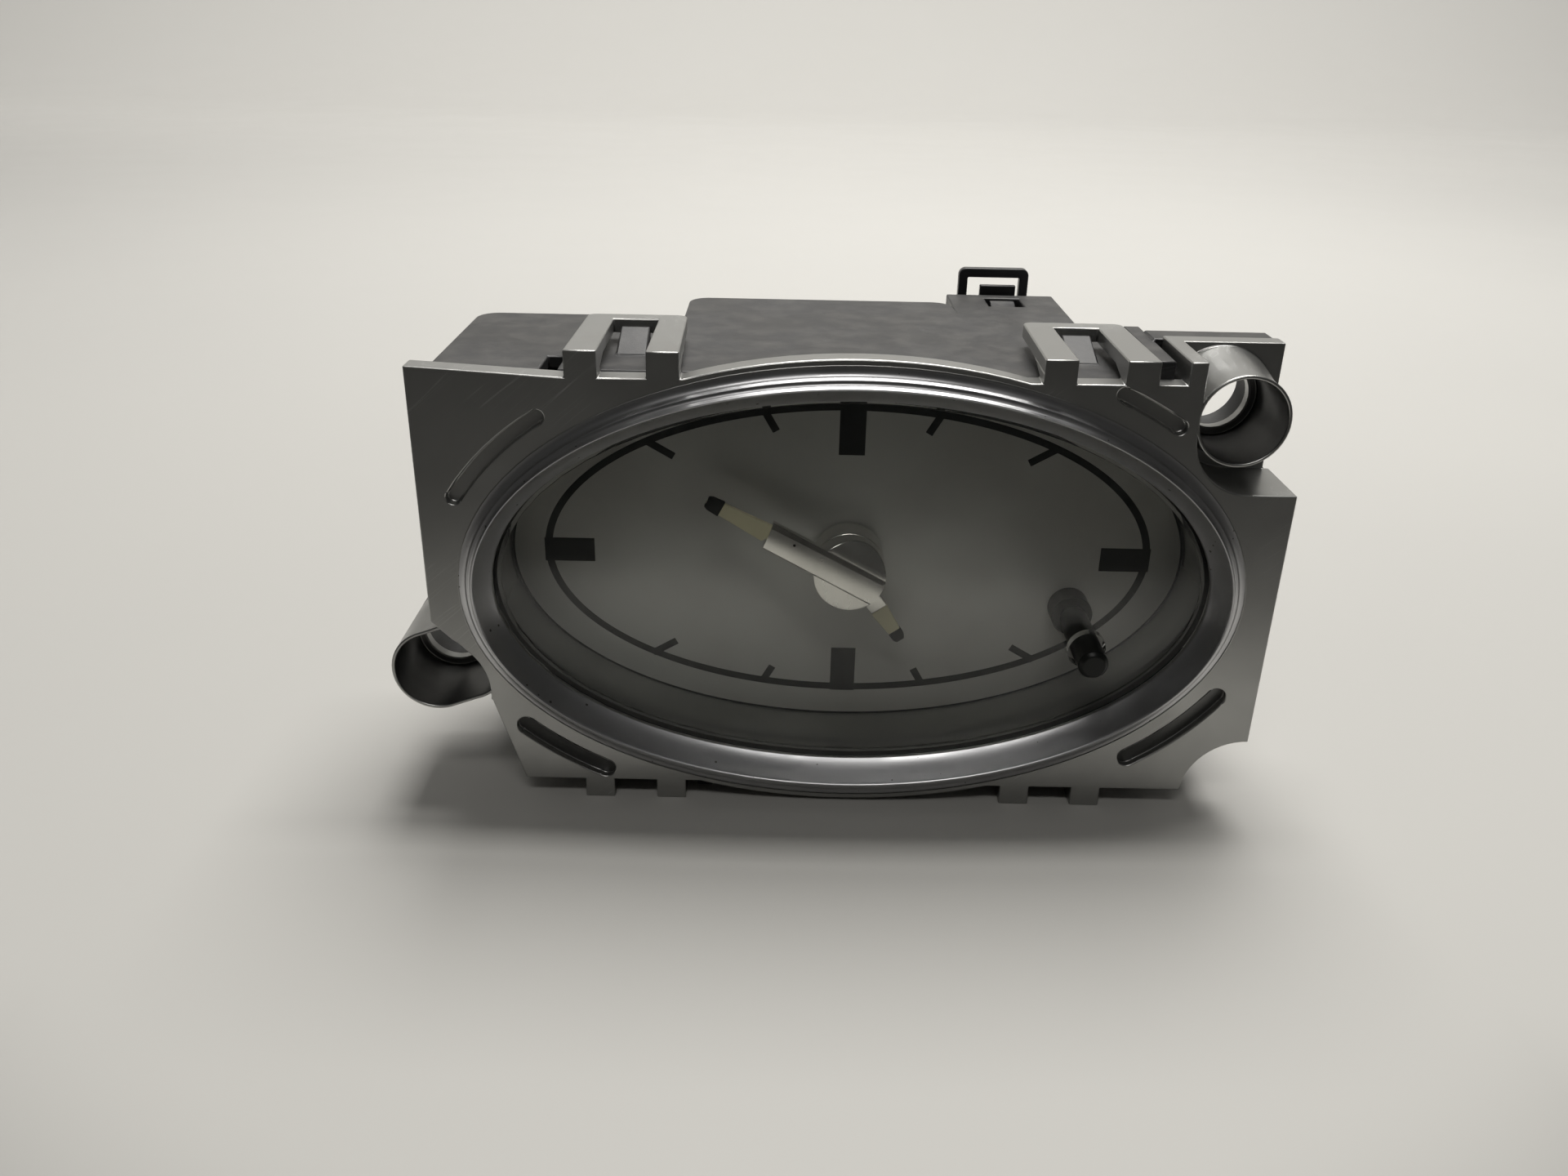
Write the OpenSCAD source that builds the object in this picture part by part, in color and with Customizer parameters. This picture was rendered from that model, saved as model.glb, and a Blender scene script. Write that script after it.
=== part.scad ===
// Dashboard quartz clock with an elliptical dial: painted bezel, clear lens, black rear housing,
// plug connector, backlight board and a geared stepper movement that carries the two hands.
// The dial faces -Y, +X is to the viewer's right and +Z is up.

/* [Front plate] */
// Width of the front plate
plate_w = 106.9; // [106:0.1:110]
// Height of the flat plate between its top and bottom edges
plate_h = 55.9; // [55:0.1:57]
// Thickness of the plate
plate_t = 3; // [2.6:0.1:3.4]
// Rise of the plate's upper left corner over its top edge
corner_rise = 0.5; // [0.2:0.1:1]
// Radius of the scoop in the plate's lower right corner
scoop_r = 8; // [6:0.1:8.5]
// Width of the two lower arc grooves beside the ring
groove_w = 2.6; // [1.5:0.1:2.8]
// Width of the two upper arc grooves beside the ring
upper_groove_w = 1.8; // [1.5:0.1:2.8]
// Depth of the grooves
groove_d = 1.1; // [0.5:0.1:1.6]

/* [Ring] */
// Half width of the ring's outer edge
ring_a = 50; // [49.5:0.1:50.5]
// Half height of the ring's outer edge
ring_b = 30.3; // [30:0.1:30.6]
// Half width of the clear opening
view_a = 45.5; // [45:0.1:45.8]
// Half height of the clear opening
view_b = 24.85; // [24.5:0.05:25]
// Height of the bead above the plate
bead_h = 1.8; // [1.2:0.1:2.4]
// Depth of the cove's inner edge below the plate's face
cove_d = 1.5; // [1:0.1:1.8]
// Thickness of the lip that holds the lens
lip_t = 0.8; // [0.6:0.1:1]

/* [Clip loops] */
// Distance from the dial axis to the middle of each loop
loop_x = 28; // [27:0.1:28.2]
// Rise of the loops above the plate's edge
loop_rise = 2.78; // [2.7:0.01:2.9]
// Outer width of a loop
loop_w = 13.5; // [12.8:0.1:13.6]
// Width of the gap between a loop's legs
loop_gap = 5.73; // [5.2:0.01:6]
// Thickness of a loop
loop_t = 1.8; // [1.4:0.1:2]
// Reach of a loop behind the plate's face
loop_l = 19; // [18.5:0.1:21]
// Depth of the bar at a loop's end
loop_bar = 2.7; // [2.2:0.1:3]

/* [Screw tubes] */
// Inner radius of the wide front part of each tube
tube_r = 5.2; // [4.9:0.05:5.4]
// Wall of a tube at its mouth
tube_wall = 0.45; // [0.4:0.05:0.6]
// Radius of the screw holes
screw_hole_r = 4.2; // [3.6:0.1:4.4]
// Depth of the step where the tube narrows to the screw hole
tube_step = 11.4; // [10.8:0.1:11.8]
// Depth of the back face of both tubes
tube_l = 13; // [12.8:0.1:14]
// Distance of the right screw from the dial axis, sideways
right_screw_x = 45.4; // [45:0.1:45.6]
// Distance of the right screw above the dial axis
right_screw_z = 23.7; // [23.4:0.1:23.9]
// Distance of the left screw from the dial axis, sideways
left_screw_x = 53.5; // [53:0.1:54]
// Distance of the left screw below the dial axis
left_screw_z = 11.8; // [11.4:0.1:12.2]
// Thickness of the housing's screw ears
ear_t = 4.6; // [4:0.1:5]

/* [Lens and dial] */
// Depth of the dial's face behind the plate's face
dial_y = 13.5; // [13.4:0.1:14]
// Thickness of the dial
dial_t = 0.6; // [0.4:0.1:0.8]
// Thickness of the light guide
guide_t = 3; // [2.6:0.1:3.4]
// Thickness of the lens flange
flange_t = 1.5; // [1:0.1:1.8]
// Thickness of the lens dome
lens_t = 2; // [1.6:0.1:2.2]
// Height of the lens dome above the plate's face
dome_h = 2.5; // [2:0.1:3]
// Width of the seat around the clear opening
seat_w = 1; // [0.8:0.1:1.1]
// Wall of the dial surround
surround_t = 1.45; // [1.2:0.05:1.5]

/* [Hands] */
// Clock angle of the minute hand
minute_angle = 298.4; // [0:0.1:360]
// Clock angle of the hour hand
hour_angle = 144.9; // [0:0.1:360]
// Radius of the two hub caps
cap_r = 4.73; // [4.4:0.01:5]
// Depth of the minute cap's face
minute_y = 6.1; // [5.9:0.1:6.3]
// Length of the minute cap's skirt
minute_skirt = 3; // [2.6:0.1:3]
// Depth of the hour hub's face
hour_y = 9.4; // [9.4:0.1:9.6]
// Length of the hour hub
hour_skirt = 3.6; // [3.2:0.1:3.7]
// Reach of the minute hand's tip
minute_reach = 21; // [18:0.1:22]
// Reach of the hour hand's tip
hour_reach = 12.9; // [11:0.1:15]
// Width of the minute hand's ridged bar
bar_w = 3.1; // [2.6:0.1:3.4]
// Reach of the ridged bar
bar_reach = 12.3; // [10:0.1:13]
// Thickness of the pointers
pointer_t = 0.7; // [0.5:0.1:0.9]

/* [Setting button] */
// Distance of the button from the dial axis, sideways
button_x = 30.4; // [29:0.1:31]
// Distance of the button below the dial axis
button_z = 6.9; // [6.5:0.1:7.5]
// Radius of the button
button_r = 1.9; // [1.7:0.1:2.1]
// Height of the button's face above the plate's face
button_h = 4.6; // [4:0.1:6]
// Radius of the button's stem
stem_r = 1.5; // [1.2:0.1:1.6]
// Travel of the button
button_travel = 1; // [0.6:0.1:1]
// Radius of the hole in the lens
lens_hole_r = 2.5; // [2.3:0.1:2.8]
// Radius of the stem's guide on the dial
sleeve_r = 2.75; // [2.4:0.05:2.9]
// Height of the stem's guide above the dial
sleeve_h = 3.2; // [2.6:0.1:3.4]

/* [Rear housing] */
// Width of the housing
tub_w = 102.9; // [102.5:0.1:103.4]
// Step from the plate's top and bottom edges in to the housing
tub_step = 0.3; // [0.2:0.05:0.35]
// Wall of the housing
tub_wall = 1.6; // [1.4:0.1:1.7]
// Room between the capacitor and the left section's back wall
cap_room = 1.1; // [0.9:0.1:3]
// Depth of the middle section over the movement
middle_d = 44.5; // [44:0.1:46]
// Depth of the right section
right_d = 27; // [26:0.1:29]
// Left side of the middle section
middle_x0 = -23.1; // [-24:0.1:-23]
// Right side of the middle section
middle_x1 = 15.5; // [15.4:0.1:15.8]
// Rounding of the rear corners
tub_r = 3; // [2:0.1:3.2]
// Width of a snap ramp
ramp_w = 3.7; // [3:0.1:4.2]
// Length of a snap ramp
ramp_l = 6.2; // [5:0.1:7]
// Height of a snap ramp
ramp_h = 2.2; // [1.8:0.1:2.4]
// Width of the locating rib and the foot ribs
rib_w = 2.1; // [1.6:0.1:2.1]
// Length of the locating rib
rib_l = 18; // [14:0.1:20]
// Distance between the foot ribs
foot_gap = 30; // [26:0.1:32]

/* [Connector] */
// Width of the connector bay
bay_w = 16.1; // [16:0.1:16.6]
// Height of the connector bay
bay_h = 28; // [27.6:0.1:30]
// Depth of the connector bay
bay_d = 50.2; // [50:0.1:51]
// Outer width of the plug socket
socket_w = 10.9; // [10.6:0.1:11.4]
// Outer height of the plug socket
socket_h = 18; // [17:0.1:19]
// Length of the socket behind the bay
socket_l = 7.8; // [7:0.1:9]
// Wall of the socket
socket_wall = 1.2; // [1:0.1:1.3]
// Number of terminals
pin_count = 4; // [2:1:4]
// Distance between terminals
pin_pitch = 2.54; // [2.5:0.01:3]
// Side of a terminal
pin_side = 0.64; // [0.6:0.02:0.8]
// Height of the latch bridge above the socket
latch_h = 4.8; // [4:0.1:5]
// Thickness of the latch bridge
latch_t = 1.4; // [1.2:0.1:1.6]

/* [Circuit board] */
// Width of the board
board_w = 87; // [84:0.1:87.2]
// Height of the board
board_h = 44; // [42:0.1:45]
// Thickness of the board
board_t = 1.6; // [1.4:0.1:1.7]
// Diameter of the electrolytic capacitor
cap_d = 8; // [6.3:0.1:8.5]
// Length of the electrolytic capacitor
cap_l = 10.6; // [9:0.1:11]
// Side of the push switch under the button
switch_side = 6; // [5.6:0.1:6.2]
// Radius of the posts that press on the board
post_r = 2; // [1.8:0.1:2.4]

/* [Movement] */
// Width of the movement
move_w = 34.5; // [34.4:0.1:35]
// Height of the movement
move_h = 38.5; // [38.4:0.1:40]
// Thickness of the movement's plates
move_plate = 1.2; // [1:0.1:1.3]
// Distance between the front plate and the train bridge
train_gap = 6.3; // [6.3:0.1:6.6]
// Depth of the motor cover
cover_d = 11.2; // [11:0.1:12]
// Wall of the motor cover
cover_wall = 1; // [0.8:0.1:1.1]
// Tooth module of the going train
train_m = 0.3; // [0.3:0.005:0.31]
// Tooth module of the motion works
motion_m = 0.45; // [0.44:0.005:0.46]
// Radius of the minute arbor
arbor_r = 0.75; // [0.6:0.05:0.8]
// Radius of the cannon pinion's pipe
cannon_r = 1.25; // [1.1:0.05:1.3]
// Outer radius of the hour wheel's pipe
hour_pipe_r = 2.1; // [1.9:0.05:2.2]
// Radius of the small pivots
pivot_r = 0.4; // [0.3:0.05:0.45]
// Running clearance of every shaft in its hole
run_gap = 0.05; // [0.03:0.01:0.08]
// Radius of the rotor magnet
magnet_r = 2.2; // [1.8:0.1:2.4]
// Length of the rotor magnet
magnet_l = 3.8; // [3:0.1:4]
// Radius of the coil
coil_r = 4; // [3.4:0.1:4.1]
// Length of the coil
coil_l = 16; // [14:0.1:17]

/* [Hidden] */
$fn = 64;
big = 200;

// Frame: the origin lies under the middle of the outline, on the foot line
overall_h = plate_h + 2 * loop_rise;
dial_z = overall_h / 2;
tube_out = tube_r + tube_wall;
latch_y = bay_d + socket_l;
mid_x = (plate_w / 2 - left_screw_x - tube_out) / 2;
mid_y = (latch_y - button_h) / 2;

// Ring section, from its outer edge (0) to the clear opening (1)
ring_n = 96;
ring_w_a = ring_a - view_a;
ring_w_b = ring_b - view_b;
fillet_s = 0.14;
shoulder_s = 0.44;
cove_s = 0.7;
shoulder_h = 0.7 * bead_h;

// Grooves outside the ring: place of the middle as an angle of the ellipse, length and width
groove_out = 2.6;
grooves = [[48.3, 8, upper_groove_w], [147.9, 15, upper_groove_w], [224.2, 12, groove_w],
    [326.3, 14, groove_w]];

// Depths of the parts stacked behind the plate
lens_y = cove_d + lip_t;
surround_y = lens_y + flange_t;
guide_y = dial_y + dial_t;
board_y = guide_y + guide_t;
move_y = board_y + board_t;
train_y = move_y + move_plate;
bridge_y = train_y + train_gap;
motor_y = bridge_y + move_plate;
cover_y = motor_y + cover_d;
ear_y = tube_l + ear_t;
seat_a = view_a + seat_w;
seat_b = view_b + seat_w;
fit = 0.1;
loose = 0.3;
led_places = [for (side_x = [-1, 1]) for (side_z = [-1, 1]) [24 * side_x, 14.5 * side_z]];
sleeve_y = dial_y - sleeve_h;

// Right tube, its notch in the plate and its flange
notch_x = right_screw_x + 2.1;
notch_z = right_screw_z - 1.9;
notch_r = tube_r + 2.1;
leg_t = 2;
leg_x = notch_x - notch_r - leg_t;
shelf_t = 1.5;
tube_draft = 1;
ear_hole_r = screw_hole_r + 0.4;
flange_x = right_screw_x + 7.3;
flange_y = tube_l - 2.6;

// Plate's corners: how far each point of the left edge lies in from the plate's width
corner_end_x = 34.7;
low_corner = 10.75;
slant_in = 7.05;
slant_up = 1.2;
scoop_in = 2.45;
waist_in = 3.55;
waist_z = 8.3;
shoulder_z = 4.7;
scoop_drop = 0.3;

// Clip loops: taper and rounding of their ends, and the webs under their legs
loop_draft = 0.35;
loop_round = 1.2;
web_l = 3.5;
web_h = 0.9;

// Left tube: a teardrop well that runs up to the plate at a slant
well_slant = 20;
well_l = 4;
well_inset_angle = 5;
plate_scoop_x = left_screw_x + 1;
plate_scoop_z = left_screw_z + 3;

// Housing
tub_h = plate_h - 2 * tub_step;
left_d = move_y + cap_l + cap_room + tub_wall;
tub_low_x = plate_w / 2 - low_corner + 0.5;
keyhole_x = 38.1;
keyhole_w = 2.1;
keyhole_l = 6;
tub_notch_r = notch_r + leg_t + 0.6;
tub_scoop_r = scoop_r + 0.6;
tub_scoop_z = left_screw_z + 1.4;
bay_x0 = middle_x1;
bay_x1 = bay_x0 + bay_w;
bay_x = bay_x0 + bay_w / 2;
bay_z0 = tub_h / 2 - bay_h;
ramp_y = loop_l - loop_bar - fit;
rib_x = loop_x + loop_w / 2 + 0.45;
window_w = 5.2;
window_l = 5.8;
window_y = bay_d - 8;
post_x = 38;
post_high = 17;
post_low = 7.3;
pin_tip_r = 0.95;
post_places = [[-post_x, post_high], [-post_x, -post_high], [post_x, post_low],
    [post_x, -post_high]];

// Connector
socket_top = tub_h / 2 - tub_wall - 0.4;
socket_z = socket_top - socket_h / 2;
socket_floor = bay_d - 4;
pin_end = bay_d + socket_l - 4;
pin_heights = [for (i = [0 : pin_count - 1]) socket_z + (i - (pin_count - 1) / 2) * pin_pitch];

// Going train and motion works
centre_teeth = 64;
leaf_teeth = 8;
middle_teeth = 60;
cannon_teeth = 10;
motion_teeth = 30;
hour_teeth = 32;
centre_dist = train_m * (centre_teeth + leaf_teeth) / 2;
rotor_dist = train_m * (middle_teeth + leaf_teeth) / 2;
motion_dist = motion_m * (motion_teeth + cannon_teeth) / 2;
middle_dir = 110;
rotor_dir = 200;
motion_dir = -60;
middle_at = centre_dist * [cos(middle_dir), sin(middle_dir)];
rotor_at = middle_at + rotor_dist * [cos(rotor_dir), sin(rotor_dir)];
motion_at = motion_dist * [cos(motion_dir), sin(motion_dir)];
wheel_share = 0.47;
leaf_share = 0.39;
wheel_tip = 0.95;
wheel_root = 1.1;
leaf_tip = 0.6;
leaf_root = 1.35;
web_share = 0.56;
train_hole_r = 2;
hour_hole_r = 1.2;
shaft_r = 0.6;
centre_hub_r = 1.9;
axial_gap = 0.15;
wheel_t = 0.8;
pinion_t = 1.2;
hour_wheel_y = train_y + 0.3;
motion_wheel_y = train_y + 1.7;
cannon_y = train_y + 1.5;
centre_wheel_y = train_y + 3.1;
middle_wheel_y = train_y + 4.5;
centre_hub_end = middle_wheel_y - axial_gap;
rotor_pinion_y = train_y + 4.3;
move_x0 = middle_x0 + 2.1;
move_z0 = -19.2;
screw_in = 2.5;
screw_r = 0.9;
screw_head_r = 1.7;
screw_head_t = 1.1;
pillar_r = 1.8;
screw_places = [for (side_x = [0, 1]) for (side_z = [0, 1])
    [move_x0 + screw_in + side_x * (move_w - 2 * screw_in),
     move_z0 + screw_in + side_z * (move_h - 2 * screw_in)]];
boss_r = hour_pipe_r + 1.1;
boss_y = guide_y + 0.4;
coil_y = motor_y + coil_r + 0.4;
coil_x = -4;
coil_z = -13.2;
core_t = 1.6;
core_h = 2.4;
stator_t = 1;
stator_y = coil_y + core_t / 2;
stator_hole = magnet_r + 0.5;
rotor_end = stator_y + stator_t + 2.4;

// Parts on the board: places about the dial axis, and stock sizes
chip_at = [-33, 3];
chip_half_w = 2.5;
chip_half_h = 2;
chip_t = 1.65;
chip_pitch = 1.27;
chip_leg_w = 0.4;
crystal_at = [26, -18];
crystal_r = 1.55;
crystal_l = 8.2;
crystal_lead_r = 0.2;
capacitor_at = [-36, -6];
regulator_at = [-30, 18];
regulator_half = 3;
regulator_t = 2.3;
resistor_at = [26, -11];
resistor_w = 2;
resistor_h = 1.25;
resistor_t = 0.55;
resistor_step = [4, 3];

// Moves the finished piece so that the origin lies under the middle of the clock
module placed() {
    translate([-mid_x, -mid_y, 0]) children();
}

// Places a piece that is drawn about the dial axis
module at_axis() {
    placed() translate([0, 0, dial_z]) children();
}

// Extrudes an outline drawn as seen from the front, from depth y0 to depth y1
module slab(y0, y1) {
    translate([0, y1, 0]) rotate([90, 0, 0]) linear_extrude(y1 - y0) children();
}

// Extrudes an outline drawn as seen from above, from height z0 to height z1
module storey(z0, z1) {
    translate([0, 0, z0]) linear_extrude(z1 - z0) children();
}

// Extrudes an outline drawn in depth and height, from x0 to x1
module slice(x0, x1) {
    translate([x0, 0, 0]) rotate([90, 0, 90]) linear_extrude(x1 - x0) children();
}

// Round bar along the depth
module rod(x, z, r, y0, y1) {
    translate([x, y0, z]) rotate([-90, 0, 0]) cylinder(h = y1 - y0, r = r);
}

// Cone along the depth
module taper(x, z, r0, r1, y0, y1) {
    translate([x, y0, z]) rotate([-90, 0, 0]) cylinder(h = y1 - y0, r1 = r0, r2 = r1);
}

// Block between two corners
module block(low, high) {
    translate(low) cube(high - low);
}

// Elliptical disc along the depth
module oval(a, b, y0, y1) {
    translate([0, y0, 0]) scale([a, 1, b]) rotate([-90, 0, 0]) cylinder(h = y1 - y0, r = 1);
}

// Shallow elliptical dome: a straight neck back to y_base, then a crown from y_rim to y_top
module dome(a, b, y_base, y_rim, y_top) {
    steps = 8;
    hull() {
        oval(a, b, y_rim, y_base, $fn = 72);
        for (k = [1 : steps])
            oval(a * cos(90 * k / (steps + 0.4)), b * cos(90 * k / (steps + 0.4)),
                y_rim - (y_rim - y_top) * sin(90 * k / (steps + 0.4)) ^ 2, y_rim, $fn = 72);
    }
}

// Rectangle with four round corners
module round_rect(x0, z0, x1, z1, r) {
    translate([x0 + r, z0]) square([x1 - x0 - 2 * r, z1 - z0]);
    translate([x0, z0 + r]) square([x1 - x0, z1 - z0 - 2 * r]);
    for (x = [x0 + r, x1 - r])
        for (z = [z0 + r, z1 - r])
            translate([x, z]) circle(r);
}

// Point of the ring's section: share s of the way inwards, at depth y
function ring_point(s, y) = [ring_a - ring_w_a * s, ring_b - ring_w_b * s, y];

// Section of the ring: fillet up from the plate, round bead, cove down to the opening, lens seat
ring_section = concat(
    [ring_point(fillet_s, 1)],
    [for (t = [0 : 30 : 90]) ring_point(fillet_s + (shoulder_s - fillet_s) * sin(t),
        -0.05 - (shoulder_h - 0.05) * (1 - cos(t)))],
    [for (t = [30 : 30 : 150]) ring_point((shoulder_s + cove_s) / 2
        - (cove_s - shoulder_s) / 2 * cos(t), -shoulder_h - (bead_h - shoulder_h) * sin(t))],
    [for (t = [0 : 22.5 : 90]) ring_point(cove_s + (1 - cove_s) * (1 - cos(t)),
        -shoulder_h + (shoulder_h + cove_d) * sin(t))],
    [[view_a, view_b, lens_y], [seat_a + fit, seat_b + fit, lens_y],
     [seat_a + fit, seat_b + fit, plate_t - 0.1], ring_point(fillet_s, plate_t - 0.1)]);

// Solid ring swept around the dial axis through its section
module swept_ring(section, n) {
    count = len(section);
    points = [for (p = section) for (i = [0 : n - 1])
        [p[0] * cos(360 * i / n), p[2], p[1] * sin(360 * i / n)]];
    faces = [for (k = [0 : count - 1]) for (i = [0 : n - 1]) for (half = [0, 1])
        let (a = k * n + i, b = k * n + (i + 1) % n, next = (k + 1) % count * n)
        half == 0 ? [b, a, next + i] : [next + (i + 1) % n, b, next + i]];
    polyhedron(points = points, faces = faces);
}

// Outline of the front plate about the dial axis, seen from the front
module plate_outline() {
    half_w = plate_w / 2;
    half_h = plate_h / 2;
    difference() {
        union() {
            polygon([[-half_w, half_h + corner_rise], [-corner_end_x, half_h - corner_rise],
                [leg_x + leg_t, half_h], [half_w, half_h], [half_w, -half_h],
                [low_corner - half_w, -half_h], [slant_in - half_w, -plate_scoop_z - slant_up],
                [scoop_in - half_w, -plate_scoop_z], [waist_in - half_w, -waist_z],
                [-half_w, -shoulder_z]]);
            scale([ring_a, ring_b]) circle(1);
        }
        translate([half_w, -half_h - scoop_drop]) circle(scoop_r);
        translate([-plate_scoop_x, -plate_scoop_z]) circle(scoop_r);
        translate([notch_x, notch_z]) circle(notch_r);
        translate([notch_x - notch_r, notch_z]) square(big);
        translate([notch_x, notch_z - notch_r]) square(big);
    }
}

// Shallow groove with round ends that follows the ring's outer edge
module ring_groove(turn, length, width) {
    x = ring_a * cos(turn);
    z = ring_b * sin(turn);
    bend = ((ring_a * sin(turn)) ^ 2 + (ring_b * cos(turn)) ^ 2) ^ 1.5 / (ring_a * ring_b);
    out = atan2(z / ring_b ^ 2, x / ring_a ^ 2);
    r = bend + groove_out;
    half = length / r * 90 / PI;
    cut = half * (1 - 0.4 / length);
    translate([x - bend * cos(out), 0, z - bend * sin(out)]) rotate([0, -out, 0]) {
        intersection() {
            difference() {
                rod(0, 0, r + width / 2, -1, groove_d);
                rod(0, 0, r - width / 2, -2, groove_d + 1);
            }
            slab(-1, groove_d) polygon([[0, 0], 2 * r * [cos(cut), -sin(cut)],
                2 * r * [cos(cut), sin(cut)]]);
        }
        for (end = [-half, half])
            rod(r * cos(end), r * sin(end), width / 2, -1, groove_d);
    }
}

// One clip loop above the dial axis; the lower ones are its mirror image
module clip_loop(x) {
    top = dial_z;
    tip = loop_w / 2 - loop_draft;
    translate([x, 0, 0]) {
        storey(top - loop_t, top) difference() {
            union() {
                polygon([[-loop_w / 2, 0], [loop_w / 2, 0], [tip, loop_l - loop_round],
                    [-tip, loop_l - loop_round]]);
                translate([loop_round - tip, loop_l - 2 * loop_round])
                    square([2 * (tip - loop_round), 2 * loop_round]);
                for (side = [-1, 1])
                    translate([side * (tip - loop_round), loop_l - loop_round])
                        circle(loop_round);
            }
            translate([-loop_gap / 2, -1]) square([loop_gap, loop_l - loop_bar + 1]);
        }
        for (x0 = [-loop_w / 2, loop_gap / 2])
            slice(x0, x0 + (loop_w - loop_gap) / 2) polygon([[0, plate_h / 2 - 1],
                [plate_t, plate_h / 2 - 1], [plate_t, top - loop_t - web_h],
                [plate_t + web_l, top - loop_t + 0.1], [0, top - loop_t + 0.1]]);
    }
}

// Walls, flange and tube of the right screw
module right_tube() {
    taper(right_screw_x, right_screw_z, tube_out, tube_out + tube_draft, plate_t, flange_y);
    rod(right_screw_x, right_screw_z, tube_out, 0, plate_t + 0.1);
    slab(flange_y - 0.1, tube_l) difference() {
        translate([leg_x, notch_z - notch_r - shelf_t])
            square([flange_x - leg_x, dial_z - notch_z + notch_r + shelf_t]);
        scale([ring_a - 1, ring_b - 1]) circle(1);
    }
    slab(0, flange_y) difference() {
        union() {
            translate([notch_x, notch_z]) circle(notch_r + shelf_t);
            translate([leg_x, notch_z]) square([leg_t, dial_z - notch_z]);
            translate([notch_x, notch_z - notch_r - shelf_t])
                square([plate_w / 2 - notch_x, notch_r]);
        }
        translate([notch_x, notch_z]) circle(notch_r);
        translate([notch_x - notch_r, notch_z]) square(big);
        translate([notch_x, notch_z - notch_r]) square(big);
    }
}

// Teardrop outline of the left screw's well
module well_outline(r) {
    side = r * cos(well_inset_angle);
    translate([-left_screw_x, -left_screw_z]) {
        circle(r);
        rotate(well_slant) translate([0, -side]) square([well_l, 2 * side]);
        translate(well_l * [cos(well_slant), sin(well_slant)]) circle(r);
    }
}

module front_bezel() color([0.62, 0.62, 0.61]) at_axis() difference() {
    union() {
        difference() {
            union() {
                slab(0, plate_t) plate_outline();
                slab(0, tube_l) difference() {
                    well_outline(tube_out);
                    scale([ring_a - 2, ring_b - 2]) circle(1);
                }
            }
            oval(ring_a - 1.5, ring_b - 1.5, -1, plate_t + 1);
            rod(-left_screw_x, -left_screw_z, tube_r, -1, tube_step);
            slab(-1, tube_step) difference() {
                well_outline(tube_r);
                difference() {
                    plate_outline();
                    translate([-plate_scoop_x, -plate_scoop_z]) circle(scoop_r);
                }
                scale([ring_a - 1, ring_b - 1]) circle(1);
            }
            rod(-left_screw_x, -left_screw_z, screw_hole_r, -1, tube_l + 1);
        }
        swept_ring(ring_section, ring_n);
        right_tube();
        for (x = [-loop_x, loop_x])
            for (turn = [0, 1])
                mirror([0, 0, turn]) clip_loop(x);
    }
    rod(right_screw_x, right_screw_z, tube_r, -1, tube_step);
    rod(right_screw_x, right_screw_z, screw_hole_r, -1, tube_l + 1);
    for (g = grooves)
        ring_groove(g[0], g[1], g[2]);
}

module lens() color([0.75, 0.78, 0.8, 0.4]) at_axis() difference() {
    union() {
        oval(seat_a, seat_b, lens_y, surround_y);
        dome(view_a - fit, view_b - fit, lens_y + 0.5, cove_d + 0.4, -dome_h);
    }
    dome(view_a - lens_t, view_b - lens_t, surround_y + 1, cove_d + lens_t, lens_t - dome_h);
    rod(button_x, -button_z, lens_hole_r, -2 * dome_h, surround_y + 1);
}

module dial_surround() color([0.45, 0.45, 0.44]) at_axis() difference() {
    oval(seat_a, seat_b, surround_y, dial_y);
    oval(seat_a - surround_t, seat_b - surround_t, surround_y - 1, dial_y + 1);
}

module dial() color([0.68, 0.69, 0.68]) at_axis() difference() {
    oval(seat_a, seat_b, dial_y, guide_y);
    rod(0, 0, hour_pipe_r + 0.3, dial_y - 1, guide_y + 1);
    rod(button_x, -button_z, stem_r + 0.7, dial_y - 1, guide_y + 1);
}

module light_guide() color([0.85, 0.88, 0.9, 0.6]) at_axis() difference() {
    oval(seat_a, seat_b, guide_y, board_y);
    rod(0, 0, boss_r + 0.2, guide_y - 1, board_y + 1);
    slab(guide_y - 1, board_y + 1) translate([button_x, -button_z])
        square(switch_side + 2 * loose, center = true);
    for (p = led_places)
        slab(board_y - 1.3, board_y + 1) translate(p) square([3.6, 2.2], center = true);
}

// Outline of the housing about the dial axis, drawn in by a wall
module tub_outline(inset) {
    difference() {
        square([tub_w - 2 * inset, tub_h - 2 * inset], center = true);
        translate([notch_x, notch_z]) circle(tub_notch_r + inset);
        translate([notch_x - tub_notch_r - inset, notch_z]) square(big);
        translate([notch_x, notch_z - tub_notch_r - inset]) square(big);
        translate([plate_w / 2, -plate_h / 2 - scoop_drop]) circle(tub_scoop_r + inset);
        translate([-plate_scoop_x, -tub_scoop_z]) circle(tub_scoop_r + inset);
        polygon([[-big, -tub_scoop_z], [tub_scoop_r + inset - plate_scoop_x, -tub_scoop_z],
            [inset - tub_low_x, -tub_h / 2], [inset - tub_low_x, -big], [-big, -big]]);
    }
}

// Rounded rear block of the housing, drawn in by a wall
module tub_block(x0, x1, depth, inset) {
    r = tub_r - inset;
    x_low = x0 + inset;
    x_high = x1 - inset;
    y_high = depth - inset;
    y_low = plate_t - inset;
    storey(-tub_h, tub_h) {
        translate([x_low, y_low]) square([x_high - x_low, y_high - r - y_low]);
        translate([x_low + r, y_low]) square([x_high - x_low - 2 * r, y_high - y_low]);
        for (x = [x_low + r, x_high - r])
            translate([x, y_high - r]) circle(r);
    }
}

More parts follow.
